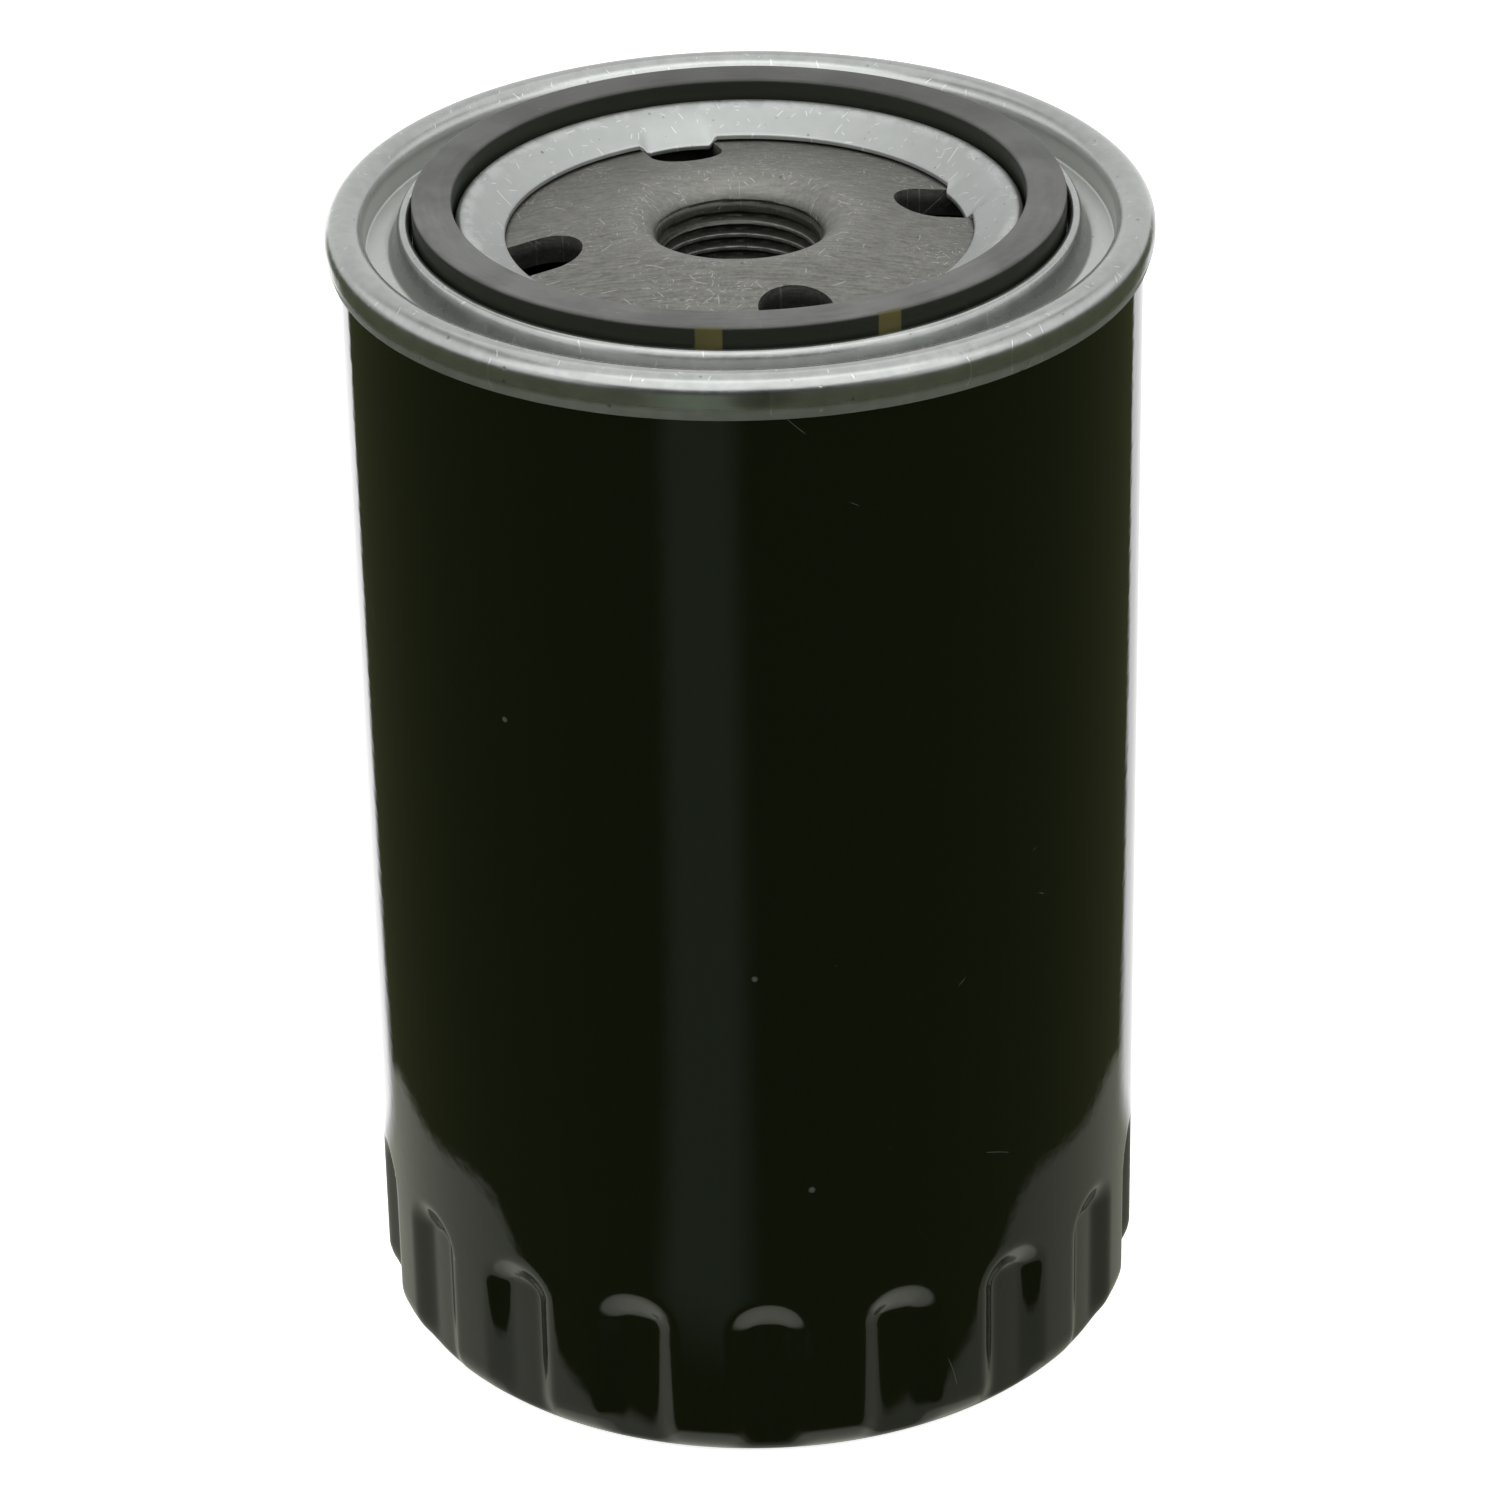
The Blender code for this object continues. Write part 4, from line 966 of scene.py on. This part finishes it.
def gasket_rubber():
    """Black rubber with a top of wiped grey dust and painted sheen, and two olive paint marks on its outer
    wall.
    """
    made, tree = new_material("gasket_rubber")
    at = on_surface(tree, 34.5)
    stretch = {0: at["unrolled"], 1: (0.16, 1.0, 1.0)}
    stretch = add(tree, "ShaderNodeVectorMath", stretch, operation="MULTIPLY")
    streak = ease(tree, effect(tree, CLOUDS, Vector=stretch.outputs[0], Size=0.9, Contrast=2.4), 0.15, 0.85)
    cloud = ease(tree, effect(tree, CLOUDS, Vector=at["plan"], Size=11.0, Contrast=2.4), 0.15, 0.85)
    specks = effect(tree, SPECKS, Vector=at["plan"], Cell=1.9, Share=0.16)
    hairs = effect(tree, SCRATCHES, Vector=at["unrolled"], Cell=6.5, Width=0.07, Share=0.35)
    # The top face alone turns grey: partly painted sheen, partly wiped dust in streaks and clouds.
    bloom_and_sheen = ease(tree, at["height"], 141.45, 141.8)
    dust = calc(tree, "MULTIPLY_ADD", streak, 0.45, times(tree, cloud, 0.5))
    _, y, _ = add(tree, "ShaderNodeSeparateXYZ", {0: at["plan"]}).outputs
    # Painted sheen: the top's grey is strongest at the front and falls to about half at the back.
    sheen_towards_front = ease(tree, y, 34.0, -10.0, 0.55, 1.0)
    # The dust below also carries painted sheen: an even lift of the whole top face towards grey.
    dust = times(tree, calc(tree, "MULTIPLY_ADD", dust, 0.55, 0.42), times(tree, bloom_and_sheen, sheen_towards_front))
    dust = calc(tree, "ADD", dust, times(tree, calc(tree, "MAXIMUM", specks, hairs), 0.25), clamp=True)
    colour = blended(tree, dust, (0.0078, 0.0098, 0.0045), (0.125, 0.126, 0.120))
    degrees = times(tree, at["turn"], 180 / pi)
    painted = None
    for middle, half in ((-95.55, 2.25), (-64.25, 2.05)):
        off = calc(tree, "ABSOLUTE", calc(tree, "SUBTRACT", degrees, middle))
        stripe = ease(tree, off, half + 0.25, half - 0.15)
        painted = calc(tree, "ADD", painted, stripe, clamp=True) if painted else stripe
    outer = calc(tree, "GREATER_THAN", at["radius"], 36.5)
    worn = calc(tree, "MULTIPLY_ADD", cloud, 0.25, 0.75)
    painted = times(tree, times(tree, painted, outer), worn)
    olive = blended(tree, painted, colour, (0.078, 0.069, 0.020))
    rough = calc(tree, "MULTIPLY_ADD", streak, 0.12, 0.46)
    high = calc(tree, "MULTIPLY_ADD", streak, 0.5, times(tree, specks, 0.6))
    rise = add(tree, "ShaderNodeBump", {"Height": high, "Strength": 0.12, "Distance": 0.0002})
    shader = {"Base Color": olive, "Roughness": rough, "Specular IOR Level": 0.34, "Normal": rise.outputs[0]}
    close_material(tree, add(tree, "ShaderNodeBsdfPrincipled", shader))
    return made


ring = [(32.2, 137.2, 0.4), (32.2, 141.84, 0.45), (36.7, 141.84, 0.45), (36.7, 137.2, 0.4)]
gasket = spun("sealing_gasket", rounded(ring, 7), 360)
finished(gasket, gasket_rubber(), "housing", "sealing_ring", slot="gasket_rubber")

# ---- Floor, light and camera ----------------------------------------------------------------
# A plain pale floor under a soft overhead light. The studio is bright above, beside and behind the
# filter, and dark low down in front. The camera looks down on the open end.

floor_mesh = bpy.data.meshes.new("floor")
reach = 4.0
corners = [(-reach, -reach, 0), (reach, -reach, 0), (reach, reach, 0), (-reach, reach, 0)]
floor_mesh.from_pydata(corners, [], [(0, 1, 2, 3)])
floor = bpy.data.objects.new("floor", floor_mesh)
bpy.context.scene.collection.objects.link(floor)


def floor_sheet():
    """White paper. Glossy rays see it glow as a painted reflection: bright close by and behind, dark in
    front.
    """
    made, tree = new_material("floor_paper")
    at = on_surface(tree)
    x, y, _ = add(tree, "ShaderNodeSeparateXYZ", {0: at["plan"]}).outputs
    across = calc(tree, "POWER", calc(tree, "DIVIDE", x, 82.5), 4.0)
    along = calc(tree, "POWER", calc(tree, "DIVIDE", y, 45.5), 4.0)
    around = calc(tree, "ADD", across, along)
    steep = calc(tree, "SUBTRACT", 1.0, add(tree, "ShaderNodeLayerWeight", {"Blend": 0.5}).outputs["Facing"])
    steep = times(tree, ease(tree, steep, 0.70, 0.86, 0.0, 0.8), ease(tree, around, 3.0, 2.0))
    near = times(tree, ease(tree, around, 1.22, 0.95), ease(tree, x, -10.0, 10.0, 0.52, 0.34))
    near = calc(tree, "MAXIMUM", near, steep)
    edge = calc(tree, "SUBTRACT", calc(tree, "ABSOLUTE", x), times(tree, y, 0.535))
    behind = times(tree, ease(tree, edge, 61.0, 47.0), ease(tree, y, 20.0, 34.0))
    behind = times(tree, behind, ease(tree, x, -10.0, 10.0, 1.9, 1.25))
    slant = calc(tree, "DIVIDE", x, calc(tree, "MAXIMUM", times(tree, y, -1.0), 1.0))
    band = times(tree, ease(tree, slant, -0.47, -0.31), ease(tree, slant, 0.03, -0.12))
    band = times(tree, band, ease(tree, y, -60.0, -80.0))
    seen = blended(tree, band, (0.085, 0.095, 0.045), (0.20, 0.25, 0.18))
    seen = blended(tree, near, seen, (0.98, 1.0, 0.87))
    seen = blended(tree, behind, seen, (1.0, 1.0, 1.0))
    shine = {"Color": seen, "Strength": calc(tree, "MAXIMUM", behind, 1.0)}
    # Painted reflection: this emission is seen by glossy rays alone.
    glow_for_reflections = add(tree, "ShaderNodeEmission", shine).outputs[0]
    paper_white = add(tree, "ShaderNodeBsdfDiffuse", {"Color": (0.86, 0.86, 0.86, 1.0)}).outputs[0]
    lift = add(tree, "ShaderNodeEmission", {"Color": (1.0, 1.0, 1.0, 1.0), "Strength": 0.8}).outputs[0]
    paper_seen = add(tree, "ShaderNodeAddShader", {0: paper_white, 1: lift}).outputs[0]
    rays = add(tree, "ShaderNodeLightPath").outputs
    own = {0: rays["Is Camera Ray"], 1: paper_white, 2: paper_seen}
    own = add(tree, "ShaderNodeMixShader", own).outputs[0]
    close_material(tree, add(tree, "ShaderNodeMixShader", {0: rays["Is Glossy Ray"], 1: own, 2: glow_for_reflections}))
    return made


floor_mesh.materials.append(floor_sheet())

world = bpy.data.worlds.new("studio")
bpy.context.scene.world = world
world.use_nodes = True
sky = world.node_tree
sky.nodes.clear()
toward = add(sky, "ShaderNodeTexCoord").outputs["Generated"]
side, back, up = add(sky, "ShaderNodeSeparateXYZ", {0: toward}).outputs
overhead = times(sky, ease(sky, up, 0.25, 0.70), 0.55)
lowered = calc(sky, "MULTIPLY_ADD", calc(sky, "ABSOLUTE", side), 0.12, up)
in_front = times(sky, ease(sky, lowered, 0.38, 0.50), ease(sky, back, 0.05, -0.30, 0.0, 1.9))
backdrop = ease(sky, back, 0.10, 0.75, 0.0, 0.98)
flanks = times(sky, ease(sky, calc(sky, "ABSOLUTE", side), 0.45, 0.85), ease(sky, up, -0.05, 0.25))
bright = calc(sky, "MAXIMUM", calc(sky, "MAXIMUM", overhead, in_front), backdrop)
bright = calc(sky, "MAXIMUM", bright, times(sky, flanks, 1.3))
bright = calc(sky, "ADD", bright, 0.05)
rays = add(sky, "ShaderNodeLightPath").outputs
level = calc(sky, "MAXIMUM", bright, rays["Is Camera Ray"])
studio = add(sky, "ShaderNodeBackground", {"Color": (1.0, 1.0, 1.0, 1.0), "Strength": level})
add(sky, "ShaderNodeOutputWorld", {"Surface": studio.outputs[0]})

lamp = bpy.data.lights.new("overhead", "AREA")
lamp.shape = "RECTANGLE"
lamp.size = 1.0
lamp.size_y = 0.9
lamp.energy = 2.0
softbox = bpy.data.objects.new("overhead", lamp)
softbox.location = (0.06, 0.10, 0.85)
softbox.rotation_euler = (radians(-6), radians(4), 0)
bpy.context.scene.collection.objects.link(softbox)

lens = bpy.data.cameras.new("camera")
lens.sensor_width = 36.0
lens.lens = 145.81
lens.clip_start = 0.01
camera = bpy.data.objects.new("camera", lens)
aim = Matrix.Rotation(radians(90 - 28.707), 4, "X") @ Matrix.Rotation(radians(-1.1425), 4, "Z")
camera.matrix_world = Matrix.Translation((0, -0.6264, 0.4134)) @ aim
bpy.context.scene.collection.objects.link(camera)
bpy.context.scene.camera = camera
bpy.context.scene.view_settings.view_transform = "Standard"
